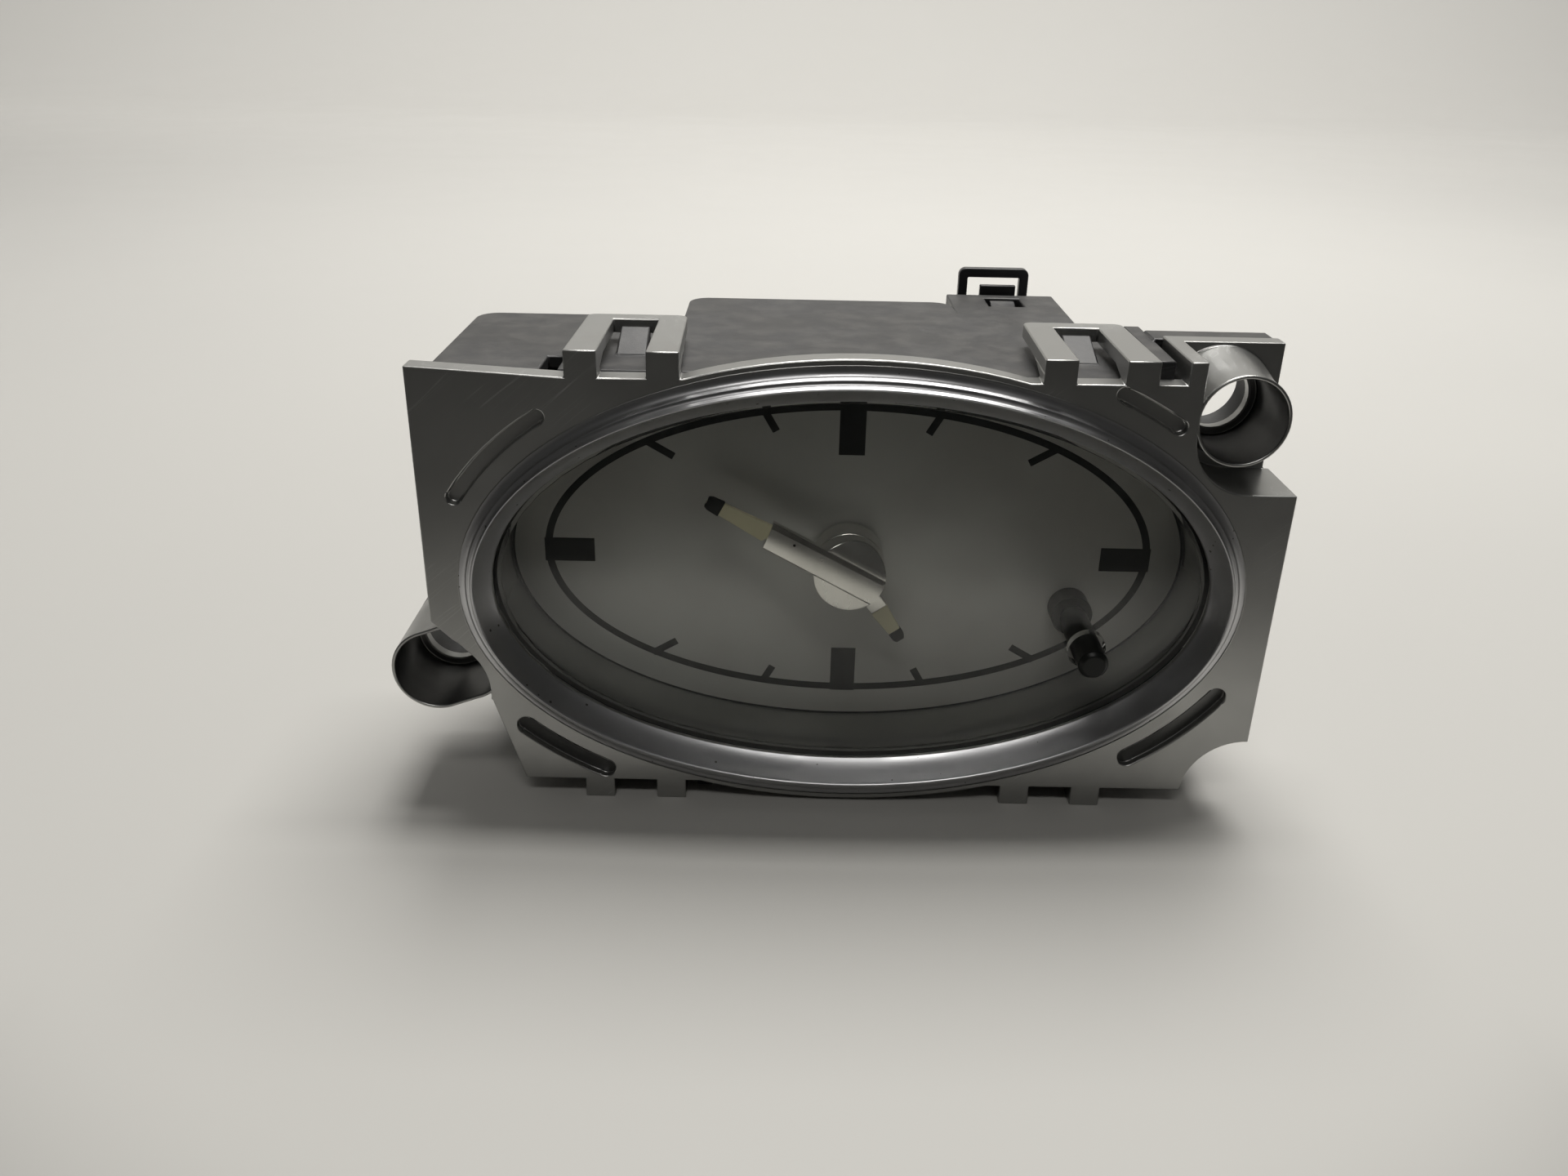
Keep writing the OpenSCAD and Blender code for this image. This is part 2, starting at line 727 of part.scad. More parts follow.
// Stepped body of the housing, drawn in by a wall
module tub_body(inset) {
    intersection() {
        union() {
            tub_block(-tub_w / 2, middle_x1, left_d, inset);
            tub_block(middle_x0, middle_x1, middle_d, inset);
            tub_block(middle_x0, tub_w / 2, right_d, inset);
        }
        slab(plate_t - inset, big) tub_outline(inset);
    }
    block([bay_x0 + inset, plate_t - inset, bay_z0 + inset],
        [bay_x1 - inset, bay_d, tub_h / 2 - inset]);
}

// Foot ribs under the middle section and the locating rib on top
module housing_ribs() {
    for (x = [-foot_gap / 2, foot_gap / 2])
        block([(middle_x0 + middle_x1) / 2 + x - rib_w / 2, plate_t + 0.2, -dial_z],
            [(middle_x0 + middle_x1) / 2 + x + rib_w / 2, middle_d - tub_r, -tub_h / 2 + 0.1]);
    block([rib_x, plate_t, tub_h / 2 - 0.1], [rib_x + rib_w, plate_t + rib_l, dial_z - 0.7]);
}

// Snap ramp that a clip loop drops over
module snap_ramp(x) {
    slice(x - ramp_w / 2, x + ramp_w / 2) polygon([[ramp_y - ramp_l, tub_h / 2 - 0.1],
        [ramp_y, tub_h / 2 - 0.1], [ramp_y, tub_h / 2 + ramp_h],
        [ramp_y - 0.6, tub_h / 2 + ramp_h], [ramp_y - ramp_l, tub_h / 2 + 0.1]]);
}

// Ears that carry the screws behind the tubes
module screw_ears() {
    slab(tube_l, ear_y) {
        difference() {
            translate([notch_x - tub_notch_r - 0.5, notch_z - tub_notch_r - 0.5])
                square([flange_x - notch_x + tub_notch_r + 0.5,
                    dial_z - 0.4 - notch_z + tub_notch_r + 0.5]);
            scale([seat_a + loose, seat_b + loose]) circle(1);
        }
        difference() {
            well_outline(tube_out);
            scale([seat_a + loose, seat_b + loose]) circle(1);
        }
    }
}

// Posts that press the board and the movement forwards
module housing_posts() {
    for (p = post_places) {
        depth = p[0] < 0 ? left_d : right_d;
        rod(p[0], p[1], post_r, move_y, depth - tub_wall + 0.1);
        rod(p[0], p[1], pin_tip_r, board_y + 0.2, move_y + 0.1);
    }
    for (z = [-12, 12])
        rod((middle_x0 + middle_x1) / 2, z, post_r, cover_y + move_plate,
            middle_d - tub_wall + 0.1);
}

module rear_housing() color([0.07, 0.07, 0.08]) at_axis() difference() {
    union() {
        difference() {
            tub_body(0);
            tub_body(tub_wall);
        }
        housing_ribs();
        for (x = [-loop_x, loop_x])
            for (turn = [0, 1])
                mirror([0, 0, turn]) snap_ramp(x);
        housing_posts();
        screw_ears();
    }
    // room for the bezel's well and for the lens, dial and light guide
    slab(plate_t - 1, tube_l) well_outline(tube_out + loose);
    oval(seat_a + fit, seat_b + fit, plate_t - 1, board_y);
    rod(-left_screw_x, -left_screw_z, ear_hole_r, tube_l - 1, ear_y + 1);
    rod(right_screw_x, right_screw_z, ear_hole_r, tube_l - 1, ear_y + 1);
    // keyhole at the top left and the window for the connector's catch
    block([-keyhole_x, plate_t - 1, tub_h / 2 - 2 * tub_wall],
        [keyhole_w - keyhole_x, plate_t + keyhole_l, tub_h]);
    block([bay_x - window_w / 2, window_y, tub_h / 2 - 2 * tub_wall],
        [bay_x + window_w / 2, window_y + window_l, tub_h]);
}

// Catch that snaps into the bay's window, seen from the side
module window_catch() {
    y0 = window_y + fit;
    y1 = window_y + window_l - fit;
    low = tub_h / 2 - tub_wall - fit - 0.1;
    slice(bay_x - ramp_w / 2, bay_x + ramp_w / 2)
        polygon([[y0, low], [y1, low], [y1, tub_h / 2 - 0.3], [y1 - 1, tub_h / 2 - 0.3]]);
}

// Bridge and tongue that hold the plug's latch
module latch_bridge() {
    x0 = bay_x - socket_w / 2;
    x1 = bay_x + socket_w / 2;
    top = socket_top + latch_h;
    slab(latch_y - latch_t, latch_y) difference() {
        round_rect(x0, socket_top - 3, x1, top, 1.1);
        translate([x0 + latch_t, socket_top - 0.6])
            square([socket_w - 2 * latch_t, latch_h + 0.6 - latch_t]);
        translate([x0 - 1, socket_top - 4]) square([socket_w + 2, 3.5]);
    }
    block([bay_x - socket_w / 4, latch_y - 6, socket_top - 0.1],
        [bay_x + socket_w / 4, latch_y - 5, top - latch_t - 0.3]);
}

module connector_shroud() color([0.09, 0.09, 0.1]) at_axis() difference() {
    union() {
        // sleeve that slides into the bay, with its end plate
        difference() {
            block([bay_x0 + tub_wall + fit, window_y - 1, bay_z0 + tub_wall + fit],
                [bay_x1 - tub_wall - fit, bay_d, tub_h / 2 - tub_wall - fit]);
            block([bay_x0 + tub_wall + fit + socket_wall, window_y - 2,
                    bay_z0 + tub_wall + fit + socket_wall],
                [bay_x1 - tub_wall - fit - socket_wall, bay_d - socket_wall,
                    tub_h / 2 - tub_wall - fit - socket_wall]);
        }
        block([bay_x - socket_w / 2, socket_floor - socket_wall, socket_z - socket_h / 2],
            [bay_x + socket_w / 2, latch_y, socket_top]);
        window_catch();
        latch_bridge();
    }
    block([bay_x - socket_w / 2 + socket_wall, socket_floor,
            socket_z - socket_h / 2 + socket_wall],
        [bay_x + socket_w / 2 - socket_wall, latch_y + 1, socket_top - socket_wall]);
    for (z = pin_heights)
        block([bay_x - pin_side / 2, socket_floor - 3, z - pin_side / 2],
            [bay_x + pin_side / 2, socket_floor + 1, z + pin_side / 2]);
}

module connector_pins() color([0.78, 0.7, 0.45]) at_axis() {
    for (z = pin_heights) {
        block([bay_x - pin_side / 2, board_y, z - pin_side / 2],
            [bay_x + pin_side / 2, pin_end, z + pin_side / 2]);
        translate([bay_x, pin_end, z]) rotate([-90, 45, 0])
            cylinder(h = 0.8, r1 = pin_side / sqrt(2), r2 = pin_side / 4, $fn = 4);
    }
}

module pin_carrier() color([0.12, 0.12, 0.12]) at_axis() difference() {
    union() {
        block([bay_x - 2.5, move_y, pin_heights[0] - 2.5],
            [bay_x + 2.5, move_y + 5, pin_heights[pin_count - 1] + 2.5]);
        block([bay_x - 1.5, move_y + 4, pin_heights[0] - 1.5],
            [bay_x + 1.5, window_y - 2.5, pin_heights[pin_count - 1] + 1.5]);
    }
    for (z = pin_heights)
        block([bay_x - pin_side / 2, move_y - 1, z - pin_side / 2],
            [bay_x + pin_side / 2, window_y, z + pin_side / 2]);
}

module circuit_board() color([0.1, 0.32, 0.16]) at_axis() slab(board_y, move_y) difference() {
    intersection() {
        square([board_w, board_h], center = true);
        tub_outline(tub_wall + loose);
    }
    circle(boss_r + 0.2);
    for (p = post_places)
        translate(p) circle(pin_tip_r + fit);
    for (z = pin_heights)
        translate([bay_x, z]) square(pin_side, center = true);
}

module backlight_leds() color([0.95, 0.93, 0.8]) at_axis() {
    for (p = led_places) {
        slab(board_y - 1.1, board_y) translate(p) square([3.2, 1.8], center = true);
        rod(p[0], p[1], 0.7, board_y - 1.25, board_y - 1.05);
    }
}

module push_switch() color([0.15, 0.15, 0.16]) at_axis() difference() {
    slab(guide_y, board_y) translate([button_x, -button_z])
        square(switch_side, center = true);
    rod(button_x, -button_z, stem_r - 0.25 + run_gap, guide_y - 1, guide_y + 1 + button_travel);
}

module switch_plunger() color([0.7, 0.2, 0.15]) at_axis()
    rod(button_x, -button_z, stem_r - 0.25, dial_y - 0.6, guide_y + 0.8);

module setting_button() color([0.06, 0.06, 0.06]) at_axis() {
    edge = 0.5;
    taper(button_x, -button_z, button_r - edge, button_r, -button_h, edge - button_h);
    rod(button_x, -button_z, button_r, edge - button_h, sleeve_y - button_travel - 0.2);
    rod(button_x, -button_z, stem_r, sleeve_y - button_travel - 0.3, dial_y - 0.6);
}

module button_sleeve() color([0.1, 0.1, 0.1]) at_axis() difference() {
    union() {
        rod(button_x, -button_z, sleeve_r, sleeve_y, dial_y);
        rod(button_x, -button_z, stem_r + 0.6, dial_y - 0.1, guide_y);
    }
    rod(button_x, -button_z, stem_r + run_gap, sleeve_y - 1, guide_y + 1);
}

// Places a part on the back of the board
module on_board(place) {
    at_axis() translate([place[0], move_y, place[1]]) children();
}

module driver_chip() color([0.08, 0.08, 0.09]) on_board(chip_at) {
    block([-chip_half_w, 0.1, -chip_half_h], [chip_half_w, chip_t, chip_half_h]);
    for (x = [-1.5 : 1.5])
        for (side = [-1, 1])
            translate([x * chip_pitch, 0, side * (chip_half_h + chip_leg_w)])
                slice(-chip_leg_w / 2, chip_leg_w / 2) {
                    translate([0, side > 0 ? -0.5 : -0.1]) square([0.8, 0.6]);
                    translate([0, side > 0 ? 0 : -0.6]) square([0.2, 0.6]);
                }
}

module quartz_crystal() color([0.75, 0.76, 0.78]) on_board(crystal_at)
    translate([0, crystal_r + 0.05, 0]) {
        rotate([0, 90, 0]) cylinder(h = crystal_l, r = crystal_r);
        for (z = [-0.5, 0.5])
            translate([0.1 - crystal_r, 0, z]) {
                rotate([0, 90, 0]) cylinder(h = crystal_r, r = crystal_lead_r);
                rotate([90, 0, 0]) cylinder(h = crystal_r + 0.05, r = crystal_lead_r);
            }
    }

module electrolytic_capacitor() color([0.12, 0.16, 0.3]) on_board(capacitor_at) {
    rod(0, 0, cap_d / 2, 0, 1);
    rod(0, 0, cap_d / 2 - 0.25, 0.9, 1.7);
    rod(0, 0, cap_d / 2, 1.6, cap_l);
}

module voltage_regulator() color([0.1, 0.1, 0.11]) on_board(regulator_at) {
    r = regulator_half;
    block([-r - 0.3, 0, -r], [r + 0.3, regulator_t, r]);
    block([-r + 0.3, 0, r - 0.1], [r - 0.3, regulator_t / 4, r + 1.2]);
    for (x = [0.7 - r, r - 0.7])
        block([x - 0.4, 0, -r - 2.6], [x + 0.4, regulator_t / 5, 0.1 - r]);
}

module chip_resistors() color([0.2, 0.2, 0.22]) at_axis() {
    for (column = [0, 1])
        for (row = [0 : 2])
            translate([resistor_at[0] + column * resistor_step[0], move_y,
                resistor_at[1] + row * resistor_step[1]])
                cube([resistor_w, resistor_t, resistor_h]);
}

// Turn of a tooth's flank at radius r, for an epicycloid rolled by a circle of radius q
function flank_turn(r, pitch_r, q) =
    let (roll = acos(min(1, ((pitch_r + q) ^ 2 + q * q - r * r) / (2 * (pitch_r + q) * q))),
        t = q / pitch_r * roll)
    atan2((pitch_r + q) * sin(t) - q * sin(t + roll), (pitch_r + q) * cos(t) - q * cos(t + roll));

// Point at a radius and an angle
function at_angle(r, a) = r * [cos(a), sin(a)];

// Outline of a gear with one tooth centred on its +X side: radial roots and cycloidal tips
module gear_outline(teeth, mate, m, share, tip, root) {
    pitch_r = m * teeth / 2;
    q = m * mate / 4;
    half = 180 / teeth * share;
    steps = [for (k = [0 : 2]) let (r = pitch_r + tip * m * k / 2) [r, flank_turn(r, pitch_r, q)]];
    polygon([for (i = [0 : teeth - 1]) let (c = 360 * i / teeth)
        each concat([at_angle(pitch_r - root * m, c - half)],
            [for (s = steps) at_angle(s[0], c - half + s[1])],
            [for (k = [2 : -1 : 0]) at_angle(steps[k][0], c + half - steps[k][1])],
            [at_angle(pitch_r - root * m, c + half)])]);
}

// Wheel and pinion outlines that mesh with each other
module wheel_outline(teeth, mate, m) {
    gear_outline(teeth, mate, m, wheel_share, wheel_tip, wheel_root);
}

module pinion_outline(teeth, mate, m) {
    gear_outline(teeth, mate, m, leaf_share, leaf_tip, leaf_root);
}

// Round holes that lighten a wheel's web
module web_holes(count, pitch_r, hole_r) {
    for (i = [0 : count - 1])
        rotate((i + 0.5) * 360 / count) translate([web_share * pitch_r, 0]) circle(hole_r);
}

// Outline of the movement's plates
module move_outline() {
    round_rect(move_x0, move_z0, move_x0 + move_w, move_z0 + move_h, 1.5);
}

module movement_front_plate() color([0.85, 0.84, 0.78]) at_axis() difference() {
    union() {
        slab(move_y, train_y) move_outline();
        rod(0, 0, boss_r, boss_y, move_y + 0.1);
        for (p = screw_places)
            rod(p[0], p[1], pillar_r, train_y - 0.1, bridge_y);
        rod(motion_at[0], motion_at[1], shaft_r, train_y - 0.1, motion_wheel_y + wheel_t + 0.2);
    }
    rod(0, 0, hour_pipe_r + run_gap, boss_y - 1, train_y + 1);
    for (p = screw_places)
        rod(p[0], p[1], screw_r + run_gap, train_y + 1, bridge_y + 1);
    for (p = [middle_at, rotor_at])
        rod(p[0], p[1], pivot_r + run_gap, move_y + 0.4, train_y + 1);
}

module train_bridge() color([0.85, 0.84, 0.78]) at_axis() difference() {
    slab(bridge_y, motor_y) move_outline();
    for (p = screw_places)
        rod(p[0], p[1], screw_r + 0.1, bridge_y - 1, motor_y + 1);
    rod(middle_at[0], middle_at[1], pivot_r + run_gap, bridge_y - 1, motor_y - 0.3);
    rod(0, 0, pivot_r + run_gap, bridge_y - 1, motor_y - 0.3);
    rod(rotor_at[0], rotor_at[1], 1.7, bridge_y - 1, motor_y + 1);
}

module motor_cover() color([0.85, 0.84, 0.78]) at_axis() difference() {
    union() {
        difference() {
            slab(motor_y, cover_y + move_plate) move_outline();
            slab(motor_y - 1, cover_y) round_rect(move_x0 + cover_wall, move_z0 + cover_wall,
                move_x0 + move_w - cover_wall, move_z0 + move_h - cover_wall, 0.8);
        }
        for (p = screw_places)
            rod(p[0], p[1], pillar_r, motor_y, cover_y + 0.1);
        rod(rotor_at[0], rotor_at[1], 1.2, rotor_end, cover_y + 0.1);
    }
    for (p = screw_places)
        rod(p[0], p[1], screw_r + 0.1, motor_y - 1, cover_y + move_plate + 1);
    rod(rotor_at[0], rotor_at[1], pivot_r + run_gap, rotor_end - 1, cover_y);
}

module movement_screws() color([0.7, 0.7, 0.72]) at_axis() for (p = screw_places) difference() {
    union() {
        rod(p[0], p[1], screw_r, train_y + 2, cover_y + move_plate + 0.1);
        rod(p[0], p[1], screw_head_r, cover_y + move_plate,
            cover_y + move_plate + screw_head_t);
    }
    for (turn = [0, 90])
        translate([p[0], cover_y + move_plate + screw_head_t, p[1]]) rotate([0, turn, 0])
            cube([2, 1.2, 0.4], center = true);
}

module stator() color([0.6, 0.6, 0.62]) at_axis() slab(stator_y, stator_y + stator_t) difference() {
    union() {
        translate(rotor_at) square([8, 8], center = true);
        translate([coil_x - coil_l / 2 - 3.6, coil_z - core_h / 2])
            square([3.4, rotor_at[1] - coil_z]);
        translate([rotor_at[0], rotor_at[1] - 1.8])
            square([coil_x + coil_l / 2 + 3.6 - rotor_at[0], 3.6]);
        translate([coil_x + coil_l / 2 + 0.2, coil_z - core_h / 2])
            square([3.4, rotor_at[1] - coil_z]);
    }
    translate(rotor_at) circle(stator_hole);
    for (turn = [60, 240])
        translate(rotor_at) rotate(turn) translate([stator_hole, 0]) circle(0.35);
}

module coil_core() color([0.55, 0.55, 0.57]) at_axis()
    block([coil_x - coil_l / 2 - 3.6, coil_y - core_t / 2, coil_z - core_h / 2],
        [coil_x + coil_l / 2 + 3.6, coil_y + core_t / 2, coil_z + core_h / 2]);

module coil_bobbin() color([0.9, 0.88, 0.82]) at_axis() difference() {
    translate([coil_x, coil_y, coil_z]) rotate([0, 90, 0]) {
        cylinder(h = coil_l, r = 1.9, center = true);
        for (side = [-1, 1])
            translate([0, 0, side * (coil_l / 2 - 0.4)])
                cylinder(h = 0.8, r = coil_r + 0.2, center = true);
    }
    block([coil_x - coil_l, coil_y - core_t / 2 - 0.05, coil_z - core_h / 2 - 0.05],
        [coil_x + coil_l, coil_y + core_t / 2 + 0.05, coil_z + core_h / 2 + 0.05]);
}

module coil_winding() color([0.72, 0.4, 0.2]) at_axis()
    translate([coil_x, coil_y, coil_z]) rotate([0, 90, 0]) difference() {
        cylinder(h = coil_l - 1.6, r = coil_r, center = true);
        cylinder(h = coil_l, r = 1.9, center = true);
    }

module rotor_magnet() color([0.3, 0.3, 0.32]) at_axis() difference() {
    rod(rotor_at[0], rotor_at[1], magnet_r, stator_y + stator_t / 2 - magnet_l / 2,
        stator_y + stator_t / 2 + magnet_l / 2);
    rod(rotor_at[0], rotor_at[1], shaft_r, stator_y - magnet_l, stator_y + magnet_l + 1);
}

module rotor_pinion() color([0.9, 0.9, 0.88]) at_axis() translate([rotor_at[0], 0, rotor_at[1]]) {
    rod(0, 0, pivot_r, move_y + 0.6, train_y + 0.3);
    rod(0, 0, shaft_r, train_y + 0.2, rotor_end - 0.1);
    rod(0, 0, pivot_r, rotor_end - 0.2, rotor_end + 1.2);
    slab(rotor_pinion_y, rotor_pinion_y + pinion_t) rotate(rotor_dir + 180 + 180 / leaf_teeth)
        pinion_outline(leaf_teeth, middle_teeth, train_m);
}

module intermediate_wheel() color([0.92, 0.92, 0.88]) at_axis()
    translate([middle_at[0], 0, middle_at[1]]) {
        rod(0, 0, pivot_r, move_y + 0.6, train_y + 0.3);
        rod(0, 0, shaft_r, train_y + 0.2, bridge_y - 0.1);
        rod(0, 0, pivot_r, bridge_y - 0.2, motor_y - 0.5);
        slab(centre_wheel_y - 0.2, middle_wheel_y + 0.1) rotate(middle_dir + 180 + 180 / leaf_teeth)
            pinion_outline(leaf_teeth, centre_teeth, train_m);
        slab(middle_wheel_y, middle_wheel_y + wheel_t) difference() {
            rotate(rotor_dir) wheel_outline(middle_teeth, leaf_teeth, train_m);
            web_holes(4, train_m * middle_teeth / 2, train_hole_r);
        }
    }

module centre_wheel() color([0.92, 0.92, 0.88]) at_axis() difference() {
    union() {
        slab(centre_wheel_y, centre_wheel_y + wheel_t) difference() {
            rotate(middle_dir) wheel_outline(centre_teeth, leaf_teeth, train_m);
            web_holes(5, train_m * centre_teeth / 2, train_hole_r);
        }
        rod(0, 0, centre_hub_r, centre_wheel_y - 0.3, centre_hub_end);
    }
    rod(0, 0, arbor_r, centre_wheel_y - 1, bridge_y);
}

module centre_arbor() color([0.72, 0.72, 0.74]) at_axis() {
    rod(0, 0, arbor_r, minute_y + 1.6, bridge_y - 0.1);
    rod(0, 0, pivot_r, bridge_y - 0.2, motor_y - 0.5);
}

module cannon_pinion() color([0.8, 0.8, 0.8]) at_axis() difference() {
    union() {
        slab(cannon_y, cannon_y + pinion_t) rotate(motion_dir + 180 / cannon_teeth)
            pinion_outline(cannon_teeth, motion_teeth, motion_m);
        rod(0, 0, cannon_r, minute_y + 1, cannon_y + 0.1);
    }
    rod(0, 0, arbor_r, minute_y, cannon_y + pinion_t + 1);
}

module motion_wheel() color([0.92, 0.92, 0.88]) at_axis()
    translate([motion_at[0], 0, motion_at[1]]) difference() {
        union() {
            slab(motion_wheel_y, motion_wheel_y + wheel_t)
                rotate(motion_dir + 180) wheel_outline(motion_teeth, cannon_teeth, motion_m);
            slab(hour_wheel_y - 0.1, motion_wheel_y + 0.1)
                rotate(motion_dir + 180 + 180 / leaf_teeth)
                    pinion_outline(leaf_teeth, hour_teeth, motion_m);
        }
        rod(0, 0, shaft_r + run_gap, train_y, motion_wheel_y + wheel_t + 1);
    }

module hour_wheel() color([0.92, 0.92, 0.88]) at_axis() difference() {
    union() {
        slab(hour_wheel_y, hour_wheel_y + 0.9) difference() {
            rotate(motion_dir) wheel_outline(hour_teeth, leaf_teeth, motion_m);
            web_holes(4, motion_m * hour_teeth / 2, hour_hole_r);
        }
        rod(0, 0, hour_pipe_r, hour_y + 0.8, hour_wheel_y + 0.1);
    }
    rod(0, 0, cannon_r + run_gap, hour_y, hour_wheel_y + 2);
}

module hour_hand_hub() color([0.6, 0.6, 0.6]) at_axis() rotate([0, hour_angle, 0]) {
    difference() {
        union() {
            rod(0, 0, cap_r, hour_y, hour_y + hour_skirt);
            slab(hour_y, hour_y + 1) translate([-1.2, 0]) square([2.4, 7.5]);
        }
        difference() {
            rod(0, 0, cap_r - 0.8, hour_y + 0.9, hour_y + hour_skirt + 1);
            rod(0, 0, hour_pipe_r + 0.8, hour_y, hour_y + hour_skirt - 0.3);
        }
        rod(0, 0, hour_pipe_r, hour_y + 0.8, hour_y + hour_skirt + 1);
        rod(0, 0, cannon_r + run_gap, hour_y - 1, hour_y + 1);
    }
}

module hour_pointer() color([0.8, 0.8, 0.6]) at_axis() rotate([0, hour_angle, 0])
    slab(hour_y, hour_y + pointer_t) polygon([[-1.2, 7.5], [1.2, 7.5], [0.8, hour_reach - 1],
        [0.5, hour_reach], [-0.5, hour_reach], [-0.8, hour_reach - 1]]);

// Ridged bar of the minute hand, its roof-shaped section drawn across the hand
module ridged_bar() {
    ridge = 1;
    back = cap_r - 0.5;
    intersection() {
        storey(-back, bar_reach) polygon([[-bar_w / 2, minute_y + 0.7],
            [-bar_w / 2, minute_y - 0.4], [-0.6, minute_y - ridge], [0.6, minute_y - ridge],
            [bar_w / 2, minute_y - 0.4], [bar_w / 2, minute_y + 0.7]]);
        slab(minute_y - 2, minute_y + 2) polygon([[-bar_w, -back - 1], [bar_w, -back + 1],
            [bar_w, bar_reach - 2], [-bar_w, bar_reach + 1]]);
    }
}

module minute_hand_cap() color([0.62, 0.62, 0.62]) at_axis() rotate([0, minute_angle, 0])
    difference() {
        union() {
            rod(0, 0, cap_r, minute_y, minute_y + minute_skirt);
            ridged_bar();
        }
        difference() {
            rod(0, 0, cap_r - 0.8, minute_y + 0.9, minute_y + minute_skirt + 1);
            rod(0, 0, cannon_r + 0.9, minute_y, minute_y + minute_skirt - 0.2);
        }
        rod(0, 0, cannon_r, minute_y + 0.95, minute_y + minute_skirt + 1);
    }

module minute_pointer() color([0.85, 0.82, 0.55]) at_axis() rotate([0, minute_angle, 0])
    slab(minute_y, minute_y + pointer_t) difference() {
        polygon([[-bar_w / 2 + 0.1, bar_reach - 4], [bar_w / 2 - 0.1, bar_reach - 4],
            [0.8, minute_reach - 1.5], [0.4, minute_reach], [-0.4, minute_reach],
            [-0.8, minute_reach - 1.5]]);
        polygon([[-bar_w, bar_reach - 6], [bar_w, bar_reach - 6], [bar_w, bar_reach - 2],
            [-bar_w, bar_reach + 1]]);
    }

front_bezel();
lens();
dial_surround();
dial();
light_guide();
rear_housing();
connector_shroud();
connector_pins();
pin_carrier();
circuit_board();
backlight_leds();
push_switch();
switch_plunger();
setting_button();
button_sleeve();
driver_chip();
quartz_crystal();
electrolytic_capacitor();
voltage_regulator();
chip_resistors();
movement_front_plate();
train_bridge();
motor_cover();
movement_screws();
stator();
coil_core();
coil_bobbin();
coil_winding();
rotor_magnet();
rotor_pinion();
intermediate_wheel();
centre_wheel();
centre_arbor();
cannon_pinion();
motion_wheel();
hour_wheel();
hour_hand_hub();
hour_pointer();
minute_hand_cap();
minute_pointer();
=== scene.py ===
import math

import bmesh
import bpy
from mathutils import Matrix, Vector


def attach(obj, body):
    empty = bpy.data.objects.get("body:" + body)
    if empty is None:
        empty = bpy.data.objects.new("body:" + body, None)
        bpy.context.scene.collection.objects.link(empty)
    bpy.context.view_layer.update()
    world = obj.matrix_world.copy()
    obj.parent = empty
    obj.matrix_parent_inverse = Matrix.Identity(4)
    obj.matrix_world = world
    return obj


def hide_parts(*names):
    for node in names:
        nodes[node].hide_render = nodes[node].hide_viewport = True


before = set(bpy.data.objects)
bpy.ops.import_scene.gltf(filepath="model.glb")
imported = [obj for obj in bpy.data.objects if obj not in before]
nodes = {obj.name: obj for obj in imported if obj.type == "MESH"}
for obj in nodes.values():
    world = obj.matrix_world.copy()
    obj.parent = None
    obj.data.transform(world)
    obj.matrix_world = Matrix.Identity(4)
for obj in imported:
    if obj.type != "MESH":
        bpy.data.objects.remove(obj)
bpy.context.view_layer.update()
mm = 0.001
print("frame loaded:", len(nodes), "nodes")

# Where the dial's axis meets the plate's face; x to the right, y into the clock, z up
dialCentre = Vector((2.85, -26.7, 30.73)) * mm


def atDial(x, y, z):
    return dialCentre + Vector((x, y, z)) * mm


def fromDial(point):
    return (point - dialCentre) / mm


# Camera, lamps and world

cameraSetup = {"place": (-6.18, -170.10, 98.31), "lens": 28.94, "sensor": 36, "near": 0.01,
               "down": 24.91, "yaw": 0.203, "roll": -1.212}


def buildCamera(setup):
    down, yaw, roll = (math.radians(setup[k]) for k in ("down", "yaw", "roll"))
    ahead = Vector((math.sin(yaw) * math.cos(down), math.cos(yaw) * math.cos(down), -math.sin(down)))
    right = Vector((math.cos(yaw), -math.sin(yaw), 0))
    below = ahead.cross(right)
    across = right * math.cos(roll) + below * math.sin(roll)
    below = below * math.cos(roll) - right * math.sin(roll)
    data = bpy.data.cameras.new("photoCamera")
    data.lens = setup["lens"]
    data.sensor_width = setup["sensor"]
    data.clip_start = setup["near"]
    camera = bpy.data.objects.new("photoCamera", data)
    bpy.context.scene.collection.objects.link(camera)
    turned = Matrix((across, -below, -ahead)).transposed().to_4x4()
    camera.matrix_world = Matrix.Translation(Vector(setup["place"]) * mm) @ turned
    bpy.context.scene.camera = camera


lampColour = (1, 0.985, 0.955)
lampSetup = {
    "ceilingLamp": {"place": (0.095, 0.095, 0.80), "aim": (0.095, 0.095, 0), "size": (0.51, 0.079),
                    "power": 2.9},
    "ceilingStrip": {"place": (0.095, 0.38, 0.80), "aim": (0.095, 0.38, 0), "size": (0.51, 0.44),
                     "power": 7.0},
    "wallWash": {"place": (0, 1.0, 0.75), "aim": (0, 1.5, 0.1), "size": (2.6, 0.4), "power": 12.6},
    "frontLamp": {"place": (-0.03, -0.43, 0.66), "aim": (0, -0.03, 0.03), "size": (0.34, 0.10),
                  "power": 0.8},
}


def buildLamps(setup):
    for name, lamp in setup.items():
        data = bpy.data.lights.new(name, "AREA")
        data.shape = "RECTANGLE"
        data.size, data.size_y = lamp["size"]
        data.energy = lamp["power"]
        data.color = lampColour
        obj = bpy.data.objects.new(name, data)
        bpy.context.scene.collection.objects.link(obj)
        obj.location = lamp["place"]
        toAim = Vector(lamp["aim"]) - Vector(lamp["place"])
        obj.rotation_euler = toAim.to_track_quat("-Z", "Y").to_euler()


def feed(tree, socket, value):
    # links an output, or sets a fixed value
    if isinstance(value, bpy.types.NodeSocket):
        tree.links.new(value, socket)
    else:
        socket.default_value = value


